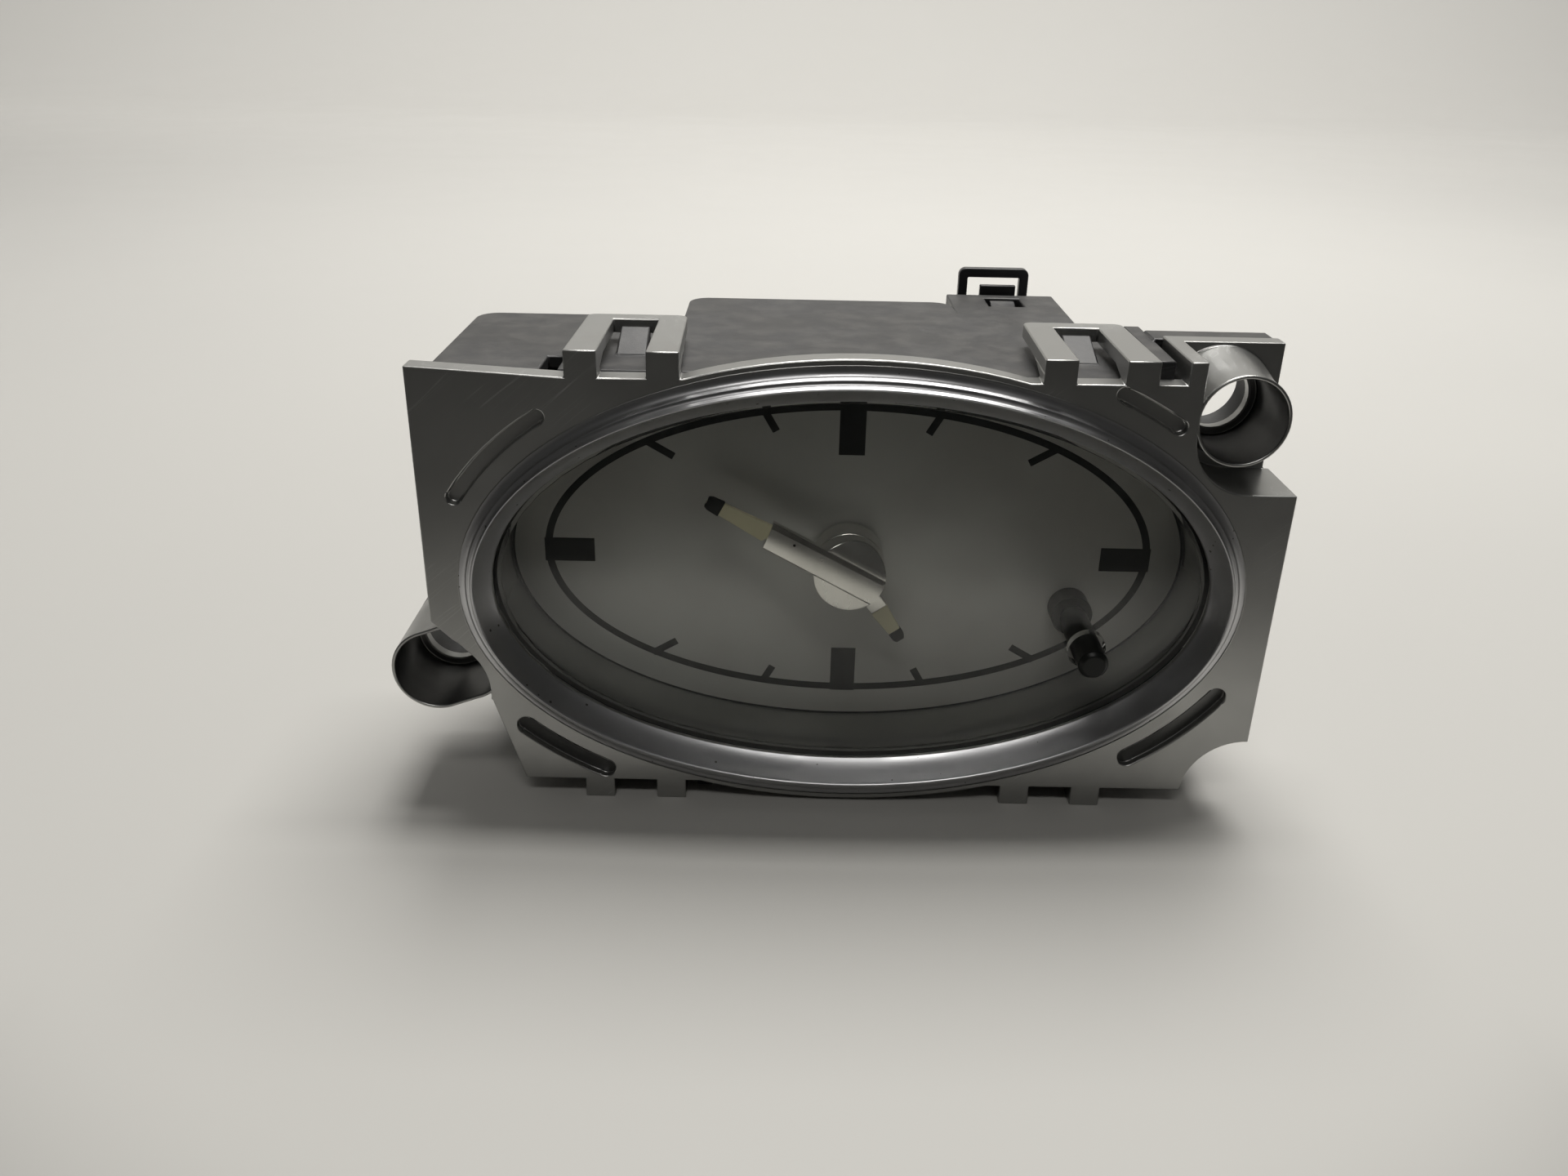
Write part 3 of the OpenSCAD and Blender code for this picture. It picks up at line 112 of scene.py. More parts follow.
def rampNode(tree, value, low, high, toLow=0.0, toHigh=1.0):
    node = tree.nodes.new("ShaderNodeMapRange")
    node.interpolation_type = "SMOOTHSTEP"
    for label, number in (("From Min", low), ("From Max", high), ("To Min", toLow), ("To Max", toHigh)):
        feed(tree, node.inputs[label], number)
    tree.links.new(value, node.inputs["Value"])
    return node.outputs["Result"]


def blendColour(tree, factor, first, second):
    node = tree.nodes.new("ShaderNodeMix")
    node.data_type = "RGBA"
    tree.links.new(factor, node.inputs["Factor"])
    for label, colour in (("A", first), ("B", second)):
        feed(tree, node.inputs[label], (*colour, 1) if isinstance(colour, tuple) else colour)
    return node.outputs["Result"]


# Dark in front of the clock, pale behind it
worldSetup = {"front": (0.03, 0.03, 0.029), "back": (0.40, 0.395, 0.38), "from": 0.0, "to": 0.9}


def buildWorld(setup):
    world = bpy.data.worlds.new("studioWorld")
    bpy.context.scene.world = world
    world.use_nodes = True
    tree = world.node_tree
    split = tree.nodes.new("ShaderNodeSeparateXYZ")
    tree.links.new(tree.nodes.new("ShaderNodeTexCoord").outputs["Generated"], split.inputs[0])
    behind = rampNode(tree, split.outputs["Y"], setup["from"], setup["to"])
    colour = blendColour(tree, behind, setup["front"], setup["back"])
    tree.links.new(colour, tree.nodes["Background"].inputs["Color"])


# Shader groups that several finishes share


def newGroup(name, inputs, output):
    tree = bpy.data.node_groups.new(name, "ShaderNodeTree")
    for label, value in inputs.items():
        socket = tree.interface.new_socket(label, in_out="INPUT", socket_type="NodeSocketFloat")
        socket.default_value = value
    tree.interface.new_socket(output, in_out="OUTPUT", socket_type="NodeSocketFloat")
    given, out = tree.nodes.new("NodeGroupInput"), tree.nodes.new("NodeGroupOutput")
    place = tree.nodes.new("ShaderNodeTexCoord").outputs["Object"]
    return tree, given.outputs, out.inputs[output], place


def mathNode(tree, operation, *values):
    node = tree.nodes.new("ShaderNodeMath")
    node.operation = operation
    for i, value in enumerate(values):
        feed(tree, node.inputs[i], value)
    return node.outputs[0]


def noiseNode(tree, vector, scale, detail=2, roughness=0.5):
    node = tree.nodes.new("ShaderNodeTexNoise")
    node.inputs["Detail"].default_value = detail
    node.inputs["Roughness"].default_value = roughness
    tree.links.new(vector, node.inputs["Vector"])
    feed(tree, node.inputs["Scale"], scale)
    return node.outputs[0]


grainSetup = {"detail": 3, "roughness": 0.6, "wide": 0.22}


def buildGrain(setup):
    # fine moulded or sprayed grain
    tree, given, out, place = newGroup("fineGrain", {"Scale": 4000, "Coarse": 0.3}, "Height")
    fine = noiseNode(tree, place, given["Scale"], setup["detail"], setup["roughness"])
    wide = noiseNode(tree, place, mathNode(tree, "MULTIPLY", given["Scale"], setup["wide"]))
    tree.links.new(mathNode(tree, "MULTIPLY_ADD", wide, given["Coarse"], fine), out)
    return tree


blotchSetup = {"detail": 4, "roughness": 0.55}


def buildBlotch(setup):
    # slow changes of tone, from handling and dust
    tree, given, out, place = newGroup("slowBlotch", {"Scale": 60, "Low": 0.35, "High": 0.65}, "Mask")
    cloud = noiseNode(tree, place, given["Scale"], setup["detail"], setup["roughness"])
    tree.links.new(rampNode(tree, cloud, given["Low"], given["High"]), out)
    return tree


scratchSetup = {"stretch": (0.03, 0.25, 1), "detail": 2, "roughness": 0.7, "middle": 0.5, "width": 0.012,
                "patchScale": 90, "patch": (0.5, 0.68)}


def buildScratch(setup):
    # hairline scratches: thin stretched lines, broken up by a slow cloud
    tree, given, out, place = newGroup("hairScratch", {"Turn": 0.7, "Scale": 700, "Amount": 0.5}, "Mask")
    turn = tree.nodes.new("ShaderNodeVectorRotate")
    turn.rotation_type = "Y_AXIS"
    tree.links.new(place, turn.inputs["Vector"])
    tree.links.new(given["Turn"], turn.inputs["Angle"])
    stretch = tree.nodes.new("ShaderNodeMapping")
    stretch.inputs["Scale"].default_value = setup["stretch"]
    tree.links.new(turn.outputs[0], stretch.inputs["Vector"])
    lines = noiseNode(tree, stretch.outputs[0], given["Scale"], setup["detail"], setup["roughness"])
    ridge = mathNode(tree, "ABSOLUTE", mathNode(tree, "SUBTRACT", lines, setup["middle"]))
    thin = rampNode(tree, ridge, 0.0, setup["width"], 1.0, 0.0)
    patch = rampNode(tree, noiseNode(tree, place, setup["patchScale"]), *setup["patch"])
    broken = mathNode(tree, "MULTIPLY", thin, patch)
    tree.links.new(mathNode(tree, "MULTIPLY", broken, given["Amount"]), out)
    return tree


def buildSpeck():
    # small specks: dust, grit and paint flecks, only in some cells
    tree, given, out, place = newGroup("smallSpeck", {"Scale": 900, "Size": 0.2, "Share": 0.2}, "Mask")
    cells = tree.nodes.new("ShaderNodeTexVoronoi")
    tree.links.new(place, cells.inputs["Vector"])
    tree.links.new(given["Scale"], cells.inputs["Scale"])
    split = tree.nodes.new("ShaderNodeSeparateColor")
    tree.links.new(cells.outputs["Color"], split.inputs[0])
    chosen = mathNode(tree, "LESS_THAN", split.outputs[0], given["Share"])
    size = mathNode(tree, "MULTIPLY", split.outputs[1], given["Size"])
    dot = mathNode(tree, "LESS_THAN", cells.outputs["Distance"], size)
    tree.links.new(mathNode(tree, "MULTIPLY", chosen, dot), out)
    return tree


dustSetup = {"upward": (0.55, 0.95), "detail": 5, "roughness": 0.65, "cloud": (0.38, 0.72)}


def buildSettledDust(setup):
    # dust that lies on faces turned upwards
    tree, given, out, place = newGroup("settledDust", {"Scale": 260, "Amount": 0.5}, "Mask")
    facing = tree.nodes.new("ShaderNodeSeparateXYZ")
    tree.links.new(tree.nodes.new("ShaderNodeNewGeometry").outputs["Normal"], facing.inputs[0])
    upward = rampNode(tree, facing.outputs["Z"], *setup["upward"])
    cloud = noiseNode(tree, place, given["Scale"], setup["detail"], setup["roughness"])
    lying = mathNode(tree, "MULTIPLY", upward, rampNode(tree, cloud, *setup["cloud"]))
    tree.links.new(mathNode(tree, "MULTIPLY", lying, given["Amount"]), out)
    return tree


brushSetup = {"detail": 2, "roughness": 0.6}


def buildBrush(setup):
    # lines left by turning, rolling or drawing, along the object's x, y or z
    tree, given, out, place = newGroup("drawnLines", {"X": 1, "Y": 1, "Z": 0.04, "Scale": 4000}, "Height")
    stretch = tree.nodes.new("ShaderNodeCombineXYZ")
    for i, label in enumerate("XYZ"):
        tree.links.new(given[label], stretch.inputs[i])
    scaled = tree.nodes.new("ShaderNodeVectorMath")
    scaled.operation = "MULTIPLY"
    tree.links.new(place, scaled.inputs[0])
    tree.links.new(stretch.outputs[0], scaled.inputs[1])
    lines = noiseNode(tree, scaled.outputs[0], given["Scale"], setup["detail"], setup["roughness"])
    tree.links.new(lines, out)
    return tree


groups = {
    "grain": buildGrain(grainSetup), "blotch": buildBlotch(blotchSetup),
    "scratch": buildScratch(scratchSetup), "speck": buildSpeck(),
    "dust": buildSettledDust(dustSetup), "brush": buildBrush(brushSetup),
}
print("shader groups ready:", ", ".join(groups))


# Finishes


def newMaterial(name):
    material = bpy.data.materials.new(name)
    material.use_nodes = True
    return material, material.node_tree, material.node_tree.nodes["Principled BSDF"]


def useGroup(tree, name, **values):
    node = tree.nodes.new("ShaderNodeGroup")
    node.node_tree = groups[name]
    for label, value in values.items():
        node.inputs[label].default_value = value
    return node.outputs[0]


def leanNormal(tree, normal, lean):
    # the surface mirrors its surroundings as if it leaned back a little
    if not lean:
        return normal
    tilt = tree.nodes.new("ShaderNodeVectorMath")
    tilt.inputs[1].default_value = (0, 0, lean)
    unit = tree.nodes.new("ShaderNodeVectorMath")
    unit.operation = "NORMALIZE"
    tree.links.new(normal, tilt.inputs[0])
    tree.links.new(tilt.outputs[0], unit.inputs[0])
    return unit.outputs[0]


# What a finish has where its own look says nothing else
plainLook = {
    "metal": 0, "ior": 1.46, "specular": 0.5, "clear": 0, "coat": 0, "coatRough": 0.12, "blotchScale": 70,
    "dustScale": 260, "dustColour": (0.42, 0.40, 0.36), "dustRough": 0.35,
    "scratchTurn": 0.7, "scratchRough": 0.15, "worn": (0.75, 0.75, 0.74),
    "speckScale": 500, "speckSize": 0.22, "speckColour": (0.03, 0.028, 0.025),
    "grainScale": 5000, "coarse": 0.3, "grainShare": 0.25, "lineScale": 5000, "bump": 0.4, "depth": 0.00004,
    "lean": 0,
}


def makeFinish(name, ownLook):
    look = plainLook | ownLook
    material, tree, shader = newMaterial(name)
    shader.inputs["Metallic"].default_value = look["metal"]
    shader.inputs["IOR"].default_value = look["ior"]
    shader.inputs["Specular IOR Level"].default_value = look["specular"]
    shader.inputs["Transmission Weight"].default_value = look["clear"]
    shader.inputs["Coat Weight"].default_value = look["coat"]
    shader.inputs["Coat Roughness"].default_value = look["coatRough"]
    tone = useGroup(tree, "blotch", Scale=look["blotchScale"])
    colour = blendColour(tree, tone, look["colour"], look["shade"])
    rough = rampNode(tree, tone, 0, 1, *look["rough"])
    if "dust" in look:
        dust = useGroup(tree, "dust", Scale=look["dustScale"], Amount=look["dust"])
        colour = blendColour(tree, dust, colour, look["dustColour"])
        rough = mathNode(tree, "MULTIPLY_ADD", dust, look["dustRough"], rough)
    if "scratch" in look:
        line = useGroup(tree, "scratch", Turn=look["scratchTurn"], Amount=look["scratch"])
        colour = blendColour(tree, line, colour, look["worn"])
        rough = mathNode(tree, "MULTIPLY_ADD", line, look["scratchRough"], rough)
    if "speck" in look:
        speck = useGroup(tree, "speck", Scale=look["speckScale"], Size=look["speckSize"],
                         Share=look["speck"])
        colour = blendColour(tree, speck, colour, look["speckColour"])
    height = useGroup(tree, "grain", Scale=look["grainScale"], Coarse=look["coarse"])
    if "lines" in look:
        x, y, z = look["lines"]
        drawn = useGroup(tree, "brush", X=x, Y=y, Z=z, Scale=look["lineScale"])
        height = mathNode(tree, "MULTIPLY_ADD", height, look["grainShare"], drawn)
    bump = tree.nodes.new("ShaderNodeBump")
    bump.inputs["Strength"].default_value = look["bump"]
    bump.inputs["Distance"].default_value = look["depth"]
    tree.links.new(height, bump.inputs["Height"])
    tree.links.new(colour, shader.inputs["Base Color"])
    tree.links.new(rough, shader.inputs["Roughness"])
    tree.links.new(leanNormal(tree, bump.outputs[0], look["lean"]), shader.inputs["Normal"])
    return material


looks = {
    "silverPaint": {"colour": (0.40, 0.40, 0.389), "shade": (0.362, 0.362, 0.352), "metal": 0.95,
                    "rough": (0.30, 0.38), "grainScale": 6500, "bump": 0.25, "depth": 0.00003,
                    "scratch": 0.35, "speck": 0.03, "speckScale": 420, "speckSize": 0.12, "blotchScale": 45,
                    "worn": (0.62, 0.62, 0.61), "lean": 0.07},
    "ringPaint": {"colour": (0.50, 0.50, 0.51), "shade": (0.45, 0.45, 0.46), "metal": 0.95,
                  "rough": (0.28, 0.34), "grainScale": 9000, "bump": 0.15, "depth": 0.00002, "speck": 0.10,
                  "speckScale": 1400, "speckSize": 0.3, "speckColour": (0.16, 0.155, 0.15),
                  "blotchScale": 120},
    # painted shade: dark grey for the bezel's recesses, the lower grooves' floors and the screw tubes' inner
    # walls
    "paintedShadeGrey": {"colour": (0.13, 0.13, 0.127), "shade": (0.10, 0.10, 0.098), "metal": 0.9,
                   "rough": (0.36, 0.44), "grainScale": 6500, "bump": 0.25, "depth": 0.00003},
    "surroundSilver": {"colour": (0.24, 0.24, 0.23), "shade": (0.20, 0.20, 0.19), "metal": 0.5,
                       "rough": (0.12, 0.2), "bump": 0.08, "depth": 0.00002, "blotchScale": 50},
    "dialSilver": {"colour": (0.48, 0.48, 0.46), "shade": (0.43, 0.42, 0.40), "metal": 0.3,
                   "rough": (0.42, 0.5), "grainScale": 9000, "bump": 0.2, "depth": 0.00002,
                   "blotchScale": 25},
    "printInk": {"colour": (0.008, 0.008, 0.008), "shade": (0.014, 0.014, 0.014), "rough": (0.45, 0.6),
                 "specular": 0.35, "grainScale": 9000, "bump": 0.15, "depth": 0.00001, "blotchScale": 400},
    "caseBlack": {"colour": (0.022, 0.022, 0.023), "shade": (0.035, 0.035, 0.036), "rough": (0.38, 0.5),
                  "grainScale": 4200, "bump": 0.35, "depth": 0.00004, "dust": 0.08, "scratch": 0.25,
                  "worn": (0.16, 0.16, 0.16), "scratchTurn": 0.2},
    "shroudBlack": {"colour": (0.016, 0.016, 0.018), "shade": (0.028, 0.028, 0.03), "rough": (0.3, 0.42),
                    "grainScale": 5200, "bump": 0.35, "depth": 0.00004, "dust": 0.1},
    "buttonBlack": {"colour": (0.010, 0.011, 0.010), "shade": (0.016, 0.017, 0.016), "rough": (0.32, 0.44),
                    "specular": 0.22, "bump": 0.25, "depth": 0.00002},
    "sleeveBlack": {"colour": (0.016, 0.016, 0.015), "shade": (0.024, 0.024, 0.022), "rough": (0.35, 0.5),
                    "specular": 0.35, "bump": 0.3, "depth": 0.00003},
    "handSilver": {"colour": (0.88, 0.865, 0.83), "shade": (0.82, 0.805, 0.77), "metal": 0.97,
                   "rough": (0.2, 0.28), "grainScale": 8000, "bump": 0.1, "depth": 0.00002, "speck": 0.02,
                   "speckScale": 900},
    "amberPointer": {"colour": (0.70, 0.66, 0.46), "shade": (0.64, 0.60, 0.41), "rough": (0.3, 0.4),
                     "clear": 0.35, "bump": 0.1, "depth": 0.00002},
    "tinPlate": {"colour": (0.70, 0.68, 0.62), "shade": (0.60, 0.58, 0.52), "metal": 1.0,
                 "rough": (0.25, 0.4), "lines": (1, 0.05, 1), "bump": 0.3, "depth": 0.00002},
    "carrierBlack": {"colour": (0.03, 0.03, 0.03), "shade": (0.045, 0.045, 0.045), "rough": (0.45, 0.6),
                     "bump": 0.4, "depth": 0.00004},
    "boardGreen": {"colour": (0.03, 0.13, 0.06), "shade": (0.045, 0.17, 0.08), "rough": (0.25, 0.4),
                   "coat": 0.4, "grainScale": 3000, "bump": 0.25, "depth": 0.00004, "lines": (1, 1, 0.06),
                   "lineScale": 900},
    "ledBody": {"colour": (0.80, 0.77, 0.62), "shade": (0.74, 0.70, 0.52), "rough": (0.25, 0.35),
                "coat": 0.3, "bump": 0.1, "depth": 0.00002},
    "switchBody": {"colour": (0.04, 0.04, 0.045), "shade": (0.06, 0.06, 0.065), "rough": (0.4, 0.55),
                   "bump": 0.3, "depth": 0.00003},
    "switchPlunger": {"colour": (0.45, 0.05, 0.03), "shade": (0.36, 0.04, 0.025), "rough": (0.35, 0.5),
                      "bump": 0.2, "depth": 0.00002},
    "chipBody": {"colour": (0.02, 0.02, 0.022), "shade": (0.032, 0.032, 0.034), "rough": (0.5, 0.65),
                 "grainScale": 7000, "bump": 0.45, "depth": 0.00003},
    "crystalCan": {"colour": (0.72, 0.72, 0.73), "shade": (0.62, 0.62, 0.63), "metal": 1.0,
                   "rough": (0.2, 0.34), "lines": (0.05, 1, 1), "bump": 0.2, "depth": 0.00002},
    "capacitorCan": {"colour": (0.02, 0.03, 0.09), "shade": (0.03, 0.045, 0.12), "rough": (0.28, 0.4),
                     "coat": 0.3, "bump": 0.15, "depth": 0.00003},
    "regulatorBody": {"colour": (0.022, 0.022, 0.024), "shade": (0.035, 0.035, 0.037), "rough": (0.45, 0.6),
                      "grainScale": 6500, "bump": 0.4, "depth": 0.00003},
    "resistorBody": {"colour": (0.04, 0.045, 0.055), "shade": (0.30, 0.29, 0.27), "rough": (0.35, 0.5),
                     "blotchScale": 900, "bump": 0.3, "depth": 0.00002},
    "movementIvory": {"colour": (0.66, 0.63, 0.52), "shade": (0.60, 0.57, 0.46), "rough": (0.4, 0.52),
                      "grainScale": 3800, "bump": 0.35, "depth": 0.00004, "speck": 0.01, "speckScale": 300},
    "screwSteel": {"colour": (0.55, 0.55, 0.56), "shade": (0.46, 0.46, 0.47), "metal": 1.0,
                   "rough": (0.25, 0.4), "lines": (1, 0.06, 1), "bump": 0.25, "depth": 0.00002},
    "motorIron": {"colour": (0.34, 0.34, 0.35), "shade": (0.28, 0.27, 0.26), "metal": 0.9,
                  "rough": (0.35, 0.5), "lines": (1, 1, 0.05), "bump": 0.3, "depth": 0.00003, "speck": 0.05,
                  "speckColour": (0.2, 0.09, 0.04)},
    "bobbinIvory": {"colour": (0.78, 0.75, 0.64), "shade": (0.72, 0.69, 0.57), "rough": (0.35, 0.5),
                    "bump": 0.25, "depth": 0.00003},
    "coilCopper": {"colour": (0.62, 0.24, 0.09), "shade": (0.50, 0.17, 0.06), "metal": 0.9,
                   "rough": (0.25, 0.38), "lines": (1, 0.03, 0.03), "lineScale": 7000, "bump": 0.8,
                   "depth": 0.00008, "coat": 0.5},
    "magnetDark": {"colour": (0.09, 0.09, 0.095), "shade": (0.12, 0.12, 0.125), "metal": 0.6,
                   "rough": (0.35, 0.5), "grainScale": 7000, "bump": 0.4, "depth": 0.00003},
    "gearWhite": {"colour": (0.80, 0.79, 0.73), "shade": (0.75, 0.74, 0.67), "rough": (0.32, 0.45),
                  "grainScale": 6000, "bump": 0.2, "depth": 0.00002},
    "arborSteel": {"colour": (0.58, 0.58, 0.60), "shade": (0.50, 0.50, 0.52), "metal": 1.0,
                   "rough": (0.15, 0.25), "lines": (1, 0.04, 1), "bump": 0.2, "depth": 0.00001},
    "cannonBrass": {"colour": (0.66, 0.47, 0.18), "shade": (0.57, 0.39, 0.14), "metal": 1.0,
                    "rough": (0.2, 0.32), "lines": (1, 0.05, 1), "bump": 0.2, "depth": 0.00001},
}
finishes = {name: makeFinish(name, look) for name, look in looks.items()}


clearLooks = {
    "lensClear": {"colour": (0.86, 0.865, 0.85), "rough": 0.015, "ior": 1.34},
    "guideClear": {"colour": (0.90, 0.92, 0.92), "rough": 0.08, "ior": 1.49},
}
smearSetup = {"Scale": 90, "Low": 0.45, "High": 0.7}
smearDim, smearRoughen = 0.97, 2.2


def makeClear(name, look):
    # clear moulded acrylic; lamps shine through it
    material, tree, shader = newMaterial(name)
    shader.inputs["IOR"].default_value = look["ior"]
    shader.inputs["Transmission Weight"].default_value = 1
    smear = useGroup(tree, "blotch", **smearSetup)
    colour = blendColour(tree, smear, look["colour"], tuple(c * smearDim for c in look["colour"]))
    rough = rampNode(tree, smear, 0, 1, look["rough"], look["rough"] * smearRoughen)
    tree.links.new(colour, shader.inputs["Base Color"])
    tree.links.new(rough, shader.inputs["Roughness"])
    passing = tree.nodes.new("ShaderNodeBsdfTransparent")
    passing.inputs["Color"].default_value = (*look["colour"], 1)
    mix = tree.nodes.new("ShaderNodeMixShader")
    tree.links.new(tree.nodes.new("ShaderNodeLightPath").outputs["Is Shadow Ray"], mix.inputs[0])
    tree.links.new(shader.outputs[0], mix.inputs[1])
    tree.links.new(passing.outputs[0], mix.inputs[2])
    tree.links.new(mix.outputs[0], tree.nodes["Material Output"].inputs["Surface"])
    return material


for name, look in clearLooks.items():
    finishes[name] = makeClear(name, look)

nodeFinish = {
    "front_bezel": "silverPaint", "lens": "lensClear", "dial_surround": "surroundSilver",
    "dial": "dialSilver", "light_guide": "guideClear", "rear_housing": "caseBlack",
    "connector_shroud": "shroudBlack", "connector_pins": "tinPlate", "pin_carrier": "carrierBlack",
    "circuit_board": "boardGreen", "backlight_leds": "ledBody", "push_switch": "switchBody",
    "switch_plunger": "switchPlunger", "setting_button": "buttonBlack", "button_sleeve": "sleeveBlack",
    "driver_chip": "chipBody", "quartz_crystal": "crystalCan", "electrolytic_capacitor": "capacitorCan",
    "voltage_regulator": "regulatorBody", "chip_resistors": "resistorBody",
    "movement_front_plate": "movementIvory", "train_bridge": "movementIvory",
    "motor_cover": "movementIvory", "movement_screws": "screwSteel", "stator": "motorIron",
    "coil_core": "motorIron", "coil_bobbin": "bobbinIvory", "coil_winding": "coilCopper",
    "rotor_magnet": "magnetDark", "rotor_pinion": "gearWhite", "intermediate_wheel": "gearWhite",
    "centre_wheel": "gearWhite", "centre_arbor": "arborSteel", "cannon_pinion": "cannonBrass",
    "motion_wheel": "gearWhite", "hour_wheel": "gearWhite", "hour_hand_hub": "handSilver",
    "hour_pointer": "amberPointer", "minute_hand_cap": "handSilver", "minute_pointer": "amberPointer",
}
for nodeName, finishName in nodeFinish.items():
    nodes[nodeName].data.materials.clear()
    nodes[nodeName].data.materials.append(finishes[finishName])
print("finishes ready:", len(finishes))


# Pieces; their sizes are in mm and degrees, from the dial's centre


def finishPiece(name, bm, body, finish, sharp=35):
    mesh = bpy.data.meshes.new(name)
    bm.to_mesh(mesh)
    bm.free()
    obj = bpy.data.objects.new(name, mesh)
    bpy.context.scene.collection.objects.link(obj)
    mesh.materials.append(finishes[finish])
    mesh.shade_smooth()
    mesh.set_sharp_from_angle(angle=math.radians(sharp))
    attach(obj, body)
    return obj


def onlyVerts(made):
    return [v for v in made if isinstance(v, bmesh.types.BMVert)]


def onlyEdges(made):
    return [e for e in made if isinstance(e, bmesh.types.BMEdge)]


def softenEdges(bm, edges, width, segments):
    bmesh.ops.bevel(bm, geom=edges, offset=width * mm, offset_type="OFFSET", segments=segments, profile=0.5,
                    affect="EDGES", clamp_overlap=True, material=-1)


# Points across the ring: share of the way from its outer (0) to its inner edge (1), and how far it lies
# in front of the plate
ringSetup = {
    "outer": (50.0, 30.3), "inner": (45.5, 24.85), "count": 240, "sharp": 50,
    "foot": (0.14, 0.05), "step": (0.40, 0.95), "land": (0.415, 1.0), "rim": (0.545, 1.62),
    "crest": (0.58, 1.8), "lip": (0.62, 1.6), "edge": (1.0, -1.48), "coveBend": 0.335,
    "filletTurn": 84, "filletSteps": (8, 6), "crestShift": 0.012, "crestSteps": 10, "coveSteps": 14,
    "root": (0.12, -0.3), "backShares": (0.99, 0.8), "backDepth": 0.3, "keel": (0.5, -0.4),
}
# How far the plain ring under it is pressed down, and where
sinkSetup = {"keep": 0.4, "from": 1.38, "shares": (0.2, 0.96)}

softEdges = {
    # the bezel's second finish is painted shade for its lower grooves and screw tubes
    "front_bezel": {"name": "bezelMoulding", "width": 0.16, "segments": 2, "body": "clock",
                    "slot": "bezel_paint", "second": "paintedShadeGrey"},
    "rear_housing": {"name": "housingMoulding", "width": 0.2, "segments": 2, "body": "clock",
                     "slot": "housing_black"},
    "connector_shroud": {"name": "shroudMoulding", "width": 0.16, "segments": 2, "body": "clock",
                         "slot": "shroud_black"},
    "dial_surround": {"name": "surroundWall", "width": 0.05, "segments": 1, "body": "clock",
                      "slot": "surround_silver"},
    "setting_button": {"name": "buttonMoulding", "width": 0.12, "segments": 3, "body": "button",
                       "slot": "button_black"},
    "button_sleeve": {"name": "sleeveMoulding", "width": 0.08, "segments": 2, "body": "clock",
                      "slot": "sleeve_black"},
    "minute_pointer": {"name": "minuteBlade", "width": 0.05, "segments": 2, "body": "minute_works",
                       "slot": "minute_pointer_clear"},
    "hour_pointer": {"name": "hourBlade", "width": 0.05, "segments": 2, "body": "hour_works",
                     "slot": "hour_pointer_clear"},
}
softCommon = {"weld": 0.002, "flat": 1, "corner": 38}


def ringOval(ring, share):
    a = ring["outer"][0] + (ring["inner"][0] - ring["outer"][0]) * share
    b = ring["outer"][1] + (ring["inner"][1] - ring["outer"][1]) * share
    return a, b


def insideOval(x, z, oval):
    a, b = oval
    return (x / a) ** 2 + (z / b) ** 2 < 1


def sinkRing(bm, ring, sink):
    # the plain ring is pressed flatter, so that it stays under the polished one
    level = -ring["edge"][1]
    first, last = (ringOval(ring, share) for share in sink["shares"])
    for v in bm.verts:
        x, y, z = fromDial(v.co)
        if y < sink["from"] and insideOval(x, z, first) and not insideOval(x, z, last):
            v.co.y += (1 - sink["keep"]) * (level - y) * mm


# The two lower grooves: turn on the ring, length, width; their floor slopes away from the ring, and it gets
# painted shade
grooveSetup = {"out": 2.6, "deep": 1.1, "shallow": 0.12, "lower": ((224.2, 12, 2.6), (326.3, 14, 2.6)),
               "near": 0.05, "endReach": 4}


def slopeGrooves(bm, groove, ring):
    a, b = ring["outer"]
    for turn, length, width in groove["lower"]:
        lean = math.radians(turn)
        x, z = a * math.cos(lean), b * math.sin(lean)
        bend = ((a * math.sin(lean)) ** 2 + (b * math.cos(lean)) ** 2) ** 1.5 / (a * b)
        out = math.atan2(z / b ** 2, x / a ** 2)
        midX, midZ = x - bend * math.cos(out), z - bend * math.sin(out)
        reach = bend + groove["out"]
        moved = set()
        for v in bm.verts:
            px, py, pz = fromDial(v.co)
            across = math.hypot(px - midX, pz - midZ) - reach
            if (abs(py - groove["deep"]) < groove["near"] and abs(across) < width / 2 + groove["near"]
                    and math.hypot(px - x, pz - z) < length / 2 + groove["endReach"]):
                share = min(1.0, max(0.0, across / width + 0.5))
                v.co.y -= (groove["deep"] - groove["shallow"]) * (1 - share) * mm
                moved.add(v)
        # painted shade: the sloped floor takes the bezel's dark grey second finish
        for f in bm.faces:
            if all(v in moved for v in f.verts):
                f.material_index = 1


# The screw tubes, whose inner walls get painted shade: middle at the mouth, then how far the left one's
# mouth runs on sideways
tubeSetup = {"radius": 5.2, "deep": 11.4, "axes": ((45.4, 23.7, 0, 0), (-53.5, -11.8, 3.76, 1.37)),
             "near": 0.1, "least": 2, "facing": 0.7}


def paintTubeShade(bm, tube):
    # painted shade: the tubes' inner walls take the bezel's dark grey second finish
    bm.normal_update()
    for x, z, runX, runZ in tube["axes"]:
        run = runX ** 2 + runZ ** 2 or 1
        for f in bm.faces:
            px, py, pz = fromDial(f.calc_center_median())
            share = min(1.0, max(0.0, ((px - x) * runX + (pz - z) * runZ) / run))
            offX, offZ = px - x - share * runX, pz - z - share * runZ
            reach = math.hypot(offX, offZ)
            inward = -(f.normal.x * offX + f.normal.z * offZ)
            inTube = 0 < py < tube["deep"] and tube["least"] < reach < tube["radius"] + tube["near"]
            if inTube and inward > tube["facing"] * reach:
                f.material_index = 1


